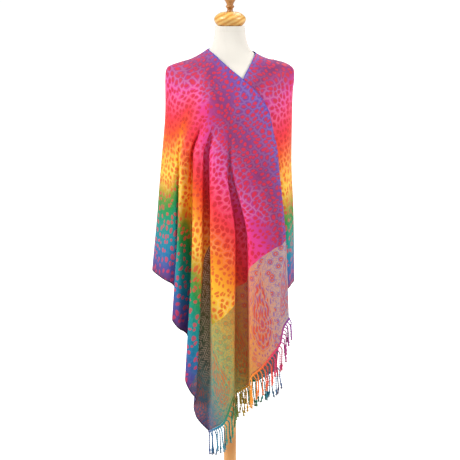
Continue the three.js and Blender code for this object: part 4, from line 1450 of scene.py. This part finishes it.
@dataclass
class Drape:
    """Where the flat cloth's places hang."""

    form: DressForm
    rest: float = 2.7
    lap: float = 3.4
    yoke_sag: float = 0.045
    levels: tuple[float, float] = (1180.0, 960.0)
    least_drop: float = 25.0
    # where the hatching and its painted hollow shade fade out, as shares down the cloth
    hatch_and_shade_ends: tuple[float, float] = (0.8, 0.92)
    lines: list[PlumbLine] = field(init=False)
    edge: list[EdgePlace] = field(init=False)
    knots: Array = field(init=False)

    def __post_init__(self) -> None:
        """Joins both sides into one run, from one free edge round the back to the other."""
        self.lines = [*(line.mirrored() for line in reversed(UNDER_LINES)), *OVER_LINES]
        self.edge = [*(place._replace(s=-place.s) for place in reversed(UNDER_EDGE)), *OVER_EDGE]
        self.knots = self._running(np.array([line.low for line in self.lines], float))

    @staticmethod
    def _running(places: Array) -> Array:
        """Lengths along chains of places, on the axis before the last, at which each of them lies."""
        gaps = np.maximum(1.0, np.linalg.norm(np.diff(places, axis=-2), axis=-1))
        start = np.zeros((*gaps.shape[:-1], 1))
        return np.concatenate([start, np.cumsum(gaps, axis=-1)], axis=-1)

    def knot(self, name: str, over: bool) -> float:
        """Where a named line lies in the run, on the side on top or beneath."""
        found = [knot for knot, line in zip(self.knots, self.lines) if line.name == name]
        return float(found[-1] if over else found[0])

    def columns(self) -> Array:
        """The run's grid columns, every plumb line among them."""
        columns: list[float] = []
        for line, start, end in zip(self.lines, self.knots, self.knots[1:]):
            columns.extend(np.linspace(start, end, line.columns, endpoint=False))
        return np.array([*columns, self.knots[-1]])

    def _line(self, values: Sequence[float], u: Array) -> Array:
        """Reads a value of the plumb lines between them."""
        return through(self.knots, np.array(values, float), u)

    def _corners(self, u: Array) -> Array:
        """The six places that plumb lines u run through, (lines, 6, 3)."""
        lines = self.lines
        start_at = self._line([line.start for line in lines], u)
        edge = np.array(self.edge, float)
        start = np.stack([through(edge[:, 0], edge[:, k], start_at) for k in (1, 2, 3)], -1)
        turn = self._line([line.turn for line in lines], u)
        height = self._line([line.bend for line in lines], u)
        bend = self.form.surface(turn, height, self._line([line.out for line in lines], u))
        yoke = (start + bend) / 2
        yoke[:, 2] -= self.yoke_sag * np.hypot(bend[:, 0] - start[:, 0], bend[:, 1] - start[:, 1])
        high_z = np.minimum(self.levels[0], height - self.least_drop)
        high = [self._line([line.high[k] for line in lines], u) for k in (0, 1)]
        low = [self._line([line.low[k] for line in lines], u) for k in (0, 1)]
        end = [self._line([line.end[k] for line in lines], u) for k in (0, 1, 2)]
        return np.stack(
            [
                start,
                yoke,
                bend,
                np.stack([*high, high_z], -1),
                np.stack([*low, np.minimum(self.levels[1], high_z - self.least_drop)], -1),
                np.stack(end, -1),
            ],
            axis=1,
        )

    def hang(self, u: Array, v: Array, raised: Array | float = 0.0) -> Array:
        """The middle of the cloth at plumb lines u and shares v of the way down them.

        Args:
            u: Places in the run of plumb lines.
            v: Shares from the neck edge to the cut edge.
            raised: How far each place stands out along the cloth's normal, (len(u), len(v)).

        Returns:
            Places in millimetres, (len(u), len(v), 3).
        """
        corners = self._corners(u)
        lengths = self._running(corners)
        where = v[None, :] * lengths[:, -1:]
        places = np.stack([through(lengths, corners[..., k], where) for k in range(3)], -1)
        lapped = smooth_step(u, self.knot("arm flap", True), self.knot("third hollow", True))
        room = np.broadcast_to((self.rest + self.lap * lapped)[:, None], places.shape[:2])
        settled = self.form.clear(places, room)
        if np.ndim(raised) == 0:
            return settled
        return self.form.clear(places + self.normals(settled) * raised[..., None], room)

    @staticmethod
    def normals(places: Array) -> Array:
        """Which way a grid of places faces, away from the form."""
        return unit(np.cross(np.gradient(places, axis=1), np.gradient(places, axis=0)))

    def hatch_and_hollow_shade(self, u: Array, v: Array) -> Array:
        """How far the hatching and the painted shade of the deep hollows come to the front at each place,
        which ends above the low corner.
        """
        hatch_and_shade = self._line([line.hatch_and_shade for line in self.lines], u)
        return hatch_and_shade[:, None] * (1 - smooth_step(v, *self.hatch_and_shade_ends))

    def flat(self, u: Array, v: Array) -> Array:
        """The same places on the flat cloth: along from the centre back, and across from the neck edge."""
        start = self._line([line.start for line in self.lines], u)
        cut = self._line([line.cut for line in self.lines], u)
        slip = self._line([line.slip for line in self.lines], u)
        reach = np.where(cut < 0, UNDER_REACH, OVER_REACH)
        beyond = np.maximum(np.abs(cut) - reach, 0.0)
        along = np.clip(cut, -UNDER_REACH, OVER_REACH)
        dip = self._line([line.dip for line in self.lines], u)
        half_way = 4 * v * (1 - v)
        s = start[:, None] * (1 - v) + along[:, None] * v + slip[:, None] * half_way
        t = (CLOTH_WIDTH - beyond)[:, None] * v + dip[:, None] * half_way
        return np.stack([s, t], -1)


# ---------------------------------------------------------------- the shawl
@dataclass
class Shawl:
    """The woven rectangle, one thin shell from free edge to free edge."""

    drape: Drape
    cloth: JacquardCloth
    rows: int = 150
    thickness: float = 1.0
    coarse_columns: int = 3
    coarse_rows: int = 4
    layout_rounds: int = 12

    def build(self) -> bpy.types.Object:
        """Models the cloth, gives it its flat UV map and dresses both faces.

        Returns:
            The shawl's piece.
        """
        u, v = self.drape.columns(), np.linspace(0, 1, self.rows + 1)
        flat = self.drape.flat(u, v)
        places = self.drape.hang(u, v, self._creases(flat))
        bm = bmesh.new()
        lookup = bm.verts.layers.int.new("place")
        for number, vert in enumerate(grid_into(bm, places * MM)):
            vert[lookup] = number
        piece = finished(bm, "shawl", [self.cloth.material(face) for face in ClothFace])
        self._add_map(piece.data, FLAT_MAP, flat * MM)
        self._add_map(piece.data, SETTLED_MAP, self._settled(places, flat) * MM)
        # the attribute that lays the hatching and its painted hollow shade in the deep hollows
        self._add_attribute(piece.data, "hatch_and_hollow_shade", self.drape.hatch_and_hollow_shade(u, v))
        self._add_attribute(piece.data, "edge_away", self._away_from_neck_edge(places, flat) * MM)
        piece.data.attributes.remove(piece.data.attributes["place"])
        piece.data.uv_layers.active = piece.data.uv_layers[FLAT_MAP]
        wall = piece.modifiers.new("cloth_thickness", "SOLIDIFY")
        wall.thickness = self.thickness * MM
        wall.offset = 0.0
        wall.material_offset = 1
        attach(piece, "root")
        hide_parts("shawl_back", "shawl_over_front", "shawl_under_front")
        return piece

    def _creases(self, flat: Array) -> Array:
        """How far the creases raise each place of the flat cloth."""
        raised = np.zeros(flat.shape[:2])
        for crease in CREASES:
            start, end = np.array((crease.s1, crease.t1)), np.array((crease.s2, crease.t2))
            length = np.linalg.norm(end - start)
            way = (end - start) / length
            away = flat - (start + end) / 2
            along, aside = away @ way, away @ np.array((-way[1], way[0]))
            fade = np.clip(1 - (2 * along / length) ** 2, 0, 1) ** 1.5
            raised += crease.height * fade * np.exp(-((aside / (crease.width / 2)) ** 2))
        return raised

    def _settled(self, places: Array, flat: Array) -> Array:
        """Lays the hung cloth out flat with the least stretch, so that woven spots keep their shape.

        Args:
            places: The cloth's grid in millimetres, (across, down, 3).
            flat: The same places on the flat cloth, to turn the layout the same way round.

        Returns:
            The layout in millimetres, (across, down, 2).
        """
        columns = np.unique([*range(0, places.shape[0], self.coarse_columns), places.shape[0] - 1])
        rows = np.unique([*range(0, places.shape[1], self.coarse_rows), places.shape[1] - 1])
        coarse = places[np.ix_(columns, rows)]
        bm = bmesh.new()
        lookup = bm.verts.layers.int.new("place")
        for number, vert in enumerate(grid_into(bm, coarse * MM)):
            vert[lookup] = number
        pattern = finished(bm, "laid_out", [])
        pattern.data.uv_layers.new(name=SETTLED_MAP)
        bpy.context.view_layer.objects.active = pattern
        bpy.ops.object.mode_set(mode="EDIT")
        bpy.ops.mesh.select_all(action="SELECT")
        bpy.ops.uv.unwrap(method="MINIMUM_STRETCH", iterations=self.layout_rounds)
        bpy.ops.object.mode_set(mode="OBJECT")
        layout = self._read_map(pattern.data, SETTLED_MAP, len(columns) * len(rows))
        mesh = pattern.data
        bpy.data.objects.remove(pattern)
        bpy.data.meshes.remove(mesh)
        layout = layout.reshape(len(columns), len(rows), 2)
        layout = layout * math.sqrt(self._area(coarse) / self._area(layout))
        layout = self._turned_like(layout, flat[np.ix_(columns, rows)])
        return self._refined(layout, columns, rows, places.shape[:2])

    @staticmethod
    def _refined(layout: Array, columns: Array, rows: Array, size: tuple[int, int]) -> Array:
        """Fills a coarse layout, known at some columns and rows, up to a whole grid of that size."""
        column, row = np.arange(size[0]), np.arange(size[1])
        filled = []
        for axis in (0, 1):
            lines = np.array([np.interp(row, rows, line) for line in layout[..., axis]])
            filled.append(np.array([np.interp(column, columns, line) for line in lines.T]).T)
        return np.stack(filled, -1)

    @staticmethod
    def _area(places: Array) -> float:
        """Area of a grid of places, taken quad by quad."""
        one, other = places[1:, 1:] - places[:-1, :-1], places[1:, :-1] - places[:-1, 1:]
        if places.shape[-1] == 3:
            return float(np.linalg.norm(np.cross(one, other), axis=-1).sum() / 2)
        return float(np.abs(one[..., 0] * other[..., 1] - one[..., 1] * other[..., 0]).sum() / 2)

    @staticmethod
    def _turned_like(layout: Array, flat: Array) -> Array:
        """Turns a layout onto the flat cloth."""
        centre = flat.mean((0, 1))
        centred, target = layout - layout.mean((0, 1)), flat - centre
        left, _, right = np.linalg.svd(centred.reshape(-1, 2).T @ target.reshape(-1, 2))
        return centred @ (left @ right) + centre

    @staticmethod
    def _read_map(mesh: bpy.types.Mesh, name: str, count: int) -> Array:
        """Reads a UV map by the numbers of the places, (count, 2)."""
        number = np.zeros(len(mesh.vertices), np.int32)
        mesh.attributes["place"].data.foreach_get("value", number)
        corner = np.zeros(len(mesh.loops), np.int32)
        mesh.loops.foreach_get("vertex_index", corner)
        values = np.zeros(2 * len(mesh.loops), np.float32)
        mesh.uv_layers[name].uv.foreach_get("vector", values)
        read = np.zeros((count, 2))
        read[number[corner]] = values.reshape(-1, 2)
        return read

    @staticmethod
    def _away_from_neck_edge(places: Array, flat: Array) -> Array:
        """How far each place lies from the nearest stretch of its own neck edge, in millimetres."""
        nearby = 120.0
        edge, edge_s = places[:, 0], flat[:, 0, 0]
        away = np.full(places.shape[:2], nearby)
        for row in range(places.shape[1]):
            if flat[:, row, 1].min() > nearby:
                break
            gaps = np.linalg.norm(places[:, row, None] - edge[None], axis=-1)
            strayed = np.abs(flat[:, row, 0, None] - edge_s[None]) > nearby
            away[:, row] = np.minimum(nearby, np.where(strayed, nearby, gaps).min(1))
        return away

    @staticmethod
    def _add_attribute(mesh: bpy.types.Mesh, name: str, values: Array) -> None:
        """Gives the mesh's places an attribute of their own."""
        number = np.zeros(len(mesh.vertices), np.int32)
        mesh.attributes["place"].data.foreach_get("value", number)
        layer = mesh.attributes.new(name, "FLOAT", "POINT")
        layer.data.foreach_set("value", values.reshape(-1)[number].astype(np.float32))

    @staticmethod
    def _add_map(mesh: bpy.types.Mesh, name: str, layout: Array) -> None:
        """Gives the mesh a UV map with the layout of its places, in metres."""
        number = np.zeros(len(mesh.vertices), np.int32)
        mesh.attributes["place"].data.foreach_get("value", number)
        corner = np.zeros(len(mesh.loops), np.int32)
        mesh.loops.foreach_get("vertex_index", corner)
        layer = mesh.uv_layers.new(name=name)
        layer.uv.foreach_set("vector", layout.reshape(-1, 2)[number[corner]].astype(np.float32).ravel())


# ---------------------------------------------------------------- the fringe
class FringeEnd(Enum):
    """The two fringed ends: node name, the side's first and last line, and whether it is the side on top."""

    OVER = ("fringe_over", "second hollow side", "free edge", True)
    UNDER = ("fringe_under", "free edge", "corner", False)


class StrandRing(NamedTuple):
    """A strand's thickness at a share of its length, and how deep its plies or loose threads part."""

    at: float
    radius: float
    parting: float


STRAND = (
    StrandRing(0.00, 1.0, 0.1),
    StrandRing(0.08, 1.6, 0.3),
    StrandRing(0.70, 1.6, 0.34),
    StrandRing(0.76, 2.0, 0.2),
    StrandRing(0.80, 3.2, 0.1),
    StrandRing(0.84, 3.0, 0.1),
    StrandRing(0.88, 1.8, 0.2),
    StrandRing(0.94, 2.5, 0.35),
    StrandRing(1.00, 3.0, 0.4),
)


class CutEnd(NamedTuple):
    """The cut edge as a chain: places, the cloth's normals, the way off the edge, and places across."""

    place: Array
    normal: Array
    out: Array
    across: Array

    def read(self, values: Array, at: float) -> Array:
        """Reads a value of the cut end at a place across the cloth."""
        order = np.argsort(self.across)
        return np.array([np.interp(at, self.across[order], values[order, k]) for k in range(3)])


@dataclass
class Fringe:
    """One end's fringe: a strip of the cloth, then twisted strands, each knotted near its end."""

    drape: Drape
    yarn: bpy.types.Material
    end: FringeEnd
    strands: int = 44
    length: float = 70.0
    length_at_neck_edge: float = 48.0
    short_stretch: float = 110.0
    strip: float = 6.0
    strip_half: float = 0.5
    seam_gap: float = 0.3
    turn_down: float = 26.0
    stagger: float = 2.6
    unevenness: float = 0.09
    girth_unevenness: float = 0.1
    lean: tuple[float, float] = (0.5, 0.25)
    swing: tuple[float, float] = (1.4, 0.6)
    sway: tuple[float, float] = (1.6, 1.2)
    rings: int = 40
    sides: int = 10
    ply_turn: float = 13.0

    def build(self) -> bpy.types.Object:
        """Models strip and strands as one piece.

        Returns:
            The fringe's piece.
        """
        name = self.end.value[0]
        edge = self._cut_end()
        bm = bmesh.new()
        layers = {label: bm.verts.layers.float.new(label) for label in ("across", "along", "shade")}
        self._add_strip(bm, layers, edge)
        for index, middle in enumerate(self._clumps()):
            self._add_strand(bm, layers, index, middle, edge)
        bmesh.ops.recalc_face_normals(bm, faces=bm.faces)
        piece = finished(bm, f"{name}_twisted", [self.yarn])
        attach(piece, "root")
        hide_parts(name)
        return piece

    def _cut_end(self) -> CutEnd:
        """Follows the cut edge from the side's first line to its last."""
        _, first, last, over = self.end.value
        start, stop = self.drape.knot(first, over), self.drape.knot(last, over)
        u = self.drape.columns()
        u = u[(u >= start - 1e-6) & (u <= stop + 1e-6)]
        last_rows = np.array([0.985, 0.9925, 1.0])
        rows = self.drape.hang(u, last_rows)
        place = rows[:, -1]
        normal = self.drape.normals(rows)[:, -1]
        out = unit(np.cross(np.gradient(place, axis=0), normal))
        return CutEnd(place, normal, out, self.drape.flat(u, last_rows[-1:])[:, 0, 1])

    def _clumps(self) -> list[float]:
        """For each strand the middle of the few that hang together with it, as a number of strands."""
        chance = np.random.default_rng(len(self.end.value[0]))
        middles: list[float] = []
        while len(middles) < self.strands:
            count = min(int(chance.integers(2, 5)), self.strands - len(middles))
            middles.extend([len(middles) + (count - 1) / 2] * count)
        return middles

    def _add_strip(self, bm: bmesh.types.BMesh, layers: dict, edge: CutEnd) -> None:
        """Adds the narrow strip of cloth at the cut end in which the strands are rooted."""
        outer_half = 0.8 * self.strip_half
        offsets = ((self.seam_gap, self.strip_half), (self.seam_gap + self.strip, outer_half))
        lines = [edge.place + edge.out * away + edge.normal * high for away, high in offsets]
        lines += [edge.place + edge.out * away - edge.normal * high for away, high in reversed(offsets)]
        loop = np.stack([*lines, lines[0]], axis=1)
        across = edge.across / CLOTH_WIDTH
        self._add_tube(bm, layers, loop * MM, across, np.zeros(len(across)), 0.5)

    def _add_strand(
        self, bm: bmesh.types.BMesh, layers: dict, index: int, middle: float, edge: CutEnd
    ) -> None:
        """Adds one strand, which leaves the strip, hangs down and leans towards its neighbours.

        Args:
            bm: The mesh that receives it.
            layers: The mesh's own layers across, along and shade.
            index: The strand's number from the neck edge.
            middle: The middle of its clump, as a number of strands.
            edge: The cut end.
        """
        t, t_middle = (CLOTH_WIDTH * (number + 0.5) / self.strands for number in (index, middle))
        chance = np.random.default_rng(1000 * len(self.end.value[0]) + index).uniform(-1, 1, 7)
        spot = edge.read(edge.place, t)
        facing, away = unit(edge.read(edge.normal, t)), unit(edge.read(edge.out, t))
        grown = min(1.0, t / self.short_stretch)
        length = self.length_at_neck_edge + (self.length - self.length_at_neck_edge) * grown
        lengths = np.linspace(0, length * (1 + self.unevenness * chance[0]), self.rings + 1)
        share = lengths / lengths[-1]
        turned = smooth_step(lengths, 0, self.turn_down)
        heading = unit(away * (1 - turned)[:, None] + np.array((0.0, 0.0, -1.0)) * turned[:, None])
        step = (heading[1:] + heading[:-1]) / 2 * np.diff(lengths)[:, None]
        centre = spot + away * (self.seam_gap + self.strip / 2)
        centre = centre + np.concatenate([np.zeros((1, 3)), np.cumsum(step, axis=0)])
        lean = self.lean[0] + self.lean[1] * chance[6]
        to_middle = (edge.read(edge.place, t_middle) - spot) * (1, 1, 0)
        centre += to_middle * lean * (share**1.4)[:, None]
        side = self.stagger if index % 2 else -self.stagger
        centre += facing * (side * turned)[:, None]
        waves = math.pi * (self.swing[0] + self.swing[1] * chance[1])
        swung = np.sin(share * waves + chance[2]) - math.sin(chance[2])
        sway = self.sway[0] + self.sway[1] * chance[3]
        centre += unit(np.cross(facing, (0, 0, 1.0))) * (swung * turned * sway)[:, None]
        table = np.array(STRAND)
        radius = through(table[:, 0], table[:, 1], share) * (1 + self.girth_unevenness * chance[4])
        parting = through(table[:, 0], table[:, 2], share)
        twist = 2 * math.pi * lengths / self.ply_turn + chance[5] * 3
        tube = self._plied(centre, heading, radius, parting, twist)
        across = np.full(len(share), t / CLOTH_WIDTH)
        self._add_tube(bm, layers, tube * MM, across, share, (chance[0] + 1) / 2)

    def _plied(
        self, centre: Array, heading: Array, radius: Array, parting: Array, twist: Array
    ) -> Array:
        """Lays rings round a centre line.

        Args:
            centre: The rings' middles, (rings, 3).
            heading: Which way the line runs at each of them.
            radius: Their radii.
            parting: How deep the two plies part there, as a share of the radius.
            twist: How far the plies have turned there.

        Returns:
            The rings' points, (rings, points, 3), the last of each on its first.
        """
        e1 = unit(np.cross((1.0, 0, 0), heading))
        e2 = np.cross(e1, heading)
        angle = np.linspace(0, 2 * math.pi, self.sides + 1)
        lobes = 1 + parting[:, None] * np.cos(2 * (angle[None, :] - twist[:, None]))
        ray = e1[:, None] * np.cos(angle)[None, :, None] + e2[:, None] * np.sin(angle)[None, :, None]
        return centre[:, None] + (radius[:, None] * lobes)[..., None] * ray

    @staticmethod
    def _add_tube(
        bm: bmesh.types.BMesh, layers: dict, rings: Array, across: Array, along: Array, shade: float
    ) -> None:
        """Adds a closed tube through rings whose last point repeats the first.

        Args:
            bm: The mesh that receives it.
            layers: The mesh's own layers across, along and shade.
            rings: The rings' points in metres.
            across: Each ring's value of the layer across.
            along: Each ring's value of the layer along.
            shade: The whole tube's value of the layer shade.
        """
        verts = grid_into(bm, rings)
        per_ring = rings.shape[1]
        for number, vert in enumerate(verts):
            vert[layers["across"]] = across[number // per_ring]
            vert[layers["along"]] = along[number // per_ring]
            vert[layers["shade"]] = shade
        starts = range(0, len(verts), per_ring)
        doubles = [verts[number] for start in starts for number in (start, start + per_ring - 1)]
        bmesh.ops.remove_doubles(bm, verts=doubles, dist=1e-7)
        rims = {edge for vert in verts if vert.is_valid for edge in vert.link_edges if edge.is_boundary}
        bmesh.ops.holes_fill(bm, edges=list(rims), sides=per_ring)


# ---------------------------------------------------------------- the studio
class Sun(NamedTuple):
    """A soft, far light: degrees round from the front, negative to the left, and up from the floor."""

    name: str
    round: float
    up: float
    strength: float
    softness: float


SUNS = (
    Sun("key_light", -68, 36, 3.2, 22),
    Sun("fill_light", 70, 32, 2.4, 30),
    Sun("back_light", 165, 50, 1.2, 40),
)


@dataclass
class Studio:
    """Camera, soft light and a plain pale floor."""

    camera_place: tuple[float, float, float] = (0.0, -3.4, 1.6)
    aim: tuple[float, float, float] = (0.0, 0.0, 0.96)
    picture_width: int = 460
    focal_pixels: float = 1240.0
    sensor: float = 36.0
    sun_distance: float = 4.0
    room_light: float = 0.24
    room_seen: float = 1.05
    floor_half: float = 60.0
    floor_glow: float = 0.8

    def build(self) -> None:
        """Sets up the camera, the lights and the floor."""
        self._camera()
        self._world()
        for sun in SUNS:
            self._sun(sun)
        self._floor()
        bpy.context.scene.view_settings.view_transform = "Standard"

    def _place(self, made: bpy.types.Object, place: Vector) -> None:
        """Puts a light or the camera at its place, aimed at the object."""
        made.location = place
        made.rotation_euler = (Vector(self.aim) - place).to_track_quat("-Z", "Y").to_euler()
        bpy.context.scene.collection.objects.link(made)

    def _camera(self) -> None:
        """Makes the camera."""
        data = bpy.data.cameras.new("camera")
        data.sensor_width = self.sensor
        data.lens = self.focal_pixels / self.picture_width * self.sensor
        data.clip_end = 4 * self.floor_half
        made = bpy.data.objects.new("camera", data)
        self._place(made, Vector(self.camera_place))
        bpy.context.scene.camera = made

    def _world(self) -> None:
        """Makes the white surroundings, which look brighter than they shine."""
        world = bpy.data.worlds.new("white_room")
        bpy.context.scene.world = world
        world.use_nodes = True
        sheet = NodeSheet(world.node_tree)
        background = world.node_tree.nodes["Background"]
        seen = sheet.node("ShaderNodeLightPath").outputs["Is Camera Ray"]
        shine = sheet.math("MULTIPLY_ADD", seen, self.room_seen - self.room_light, self.room_light)
        sheet.feed(background.inputs["Strength"], shine)
        background.inputs["Color"].default_value = (1.0, 1.0, 1.0, 1.0)

    def _sun(self, sun: Sun) -> None:
        """Makes one soft light."""
        data = bpy.data.lights.new(sun.name, "SUN")
        data.energy = sun.strength
        data.angle = math.radians(sun.softness)
        away, height = math.radians(sun.round), math.radians(sun.up)
        level = Vector((math.sin(away), -math.cos(away), 0.0)) * math.cos(height)
        way = level + Vector((0.0, 0.0, math.sin(height)))
        self._place(bpy.data.objects.new(sun.name, data), Vector(self.aim) + way * self.sun_distance)

    def _floor(self) -> None:
        """Makes the floor, which isn't part of the object, and glows only as far as it is seen."""
        material, sheet, shader = new_material(
            "pale_floor", Base_Color=(0.55, 0.55, 0.55, 1.0), Roughness=0.9, Emission_Color=(1, 1, 1, 1)
        )
        seen = sheet.node("ShaderNodeLightPath").outputs["Is Camera Ray"]
        sheet.feed(shader.inputs["Emission Strength"], sheet.math("MULTIPLY", seen, self.floor_glow))
        bm = bmesh.new()
        bmesh.ops.create_grid(bm, x_segments=8, y_segments=8, size=self.floor_half)
        floor = finished(bm, "floor", [material])


def main() -> None:
    """Builds the studio, the form, the stand, the shawl and its fringes, in that order."""
    logging.basicConfig(level=logging.INFO, format="%(message)s")
    Studio().build()
    shared = SharedEffects()
    form = DressForm(JerseyCover(shared))
    form_piece = form.build()
    WoodenStand(shared).build()
    drape = Drape(form)
    shawl = Shawl(drape, JacquardCloth(shared)).build()
    yarn = TwistedYarn().material()
    fringes = [Fringe(drape, yarn, end).build() for end in FringeEnd]


if __name__ == "__main__":
    main()
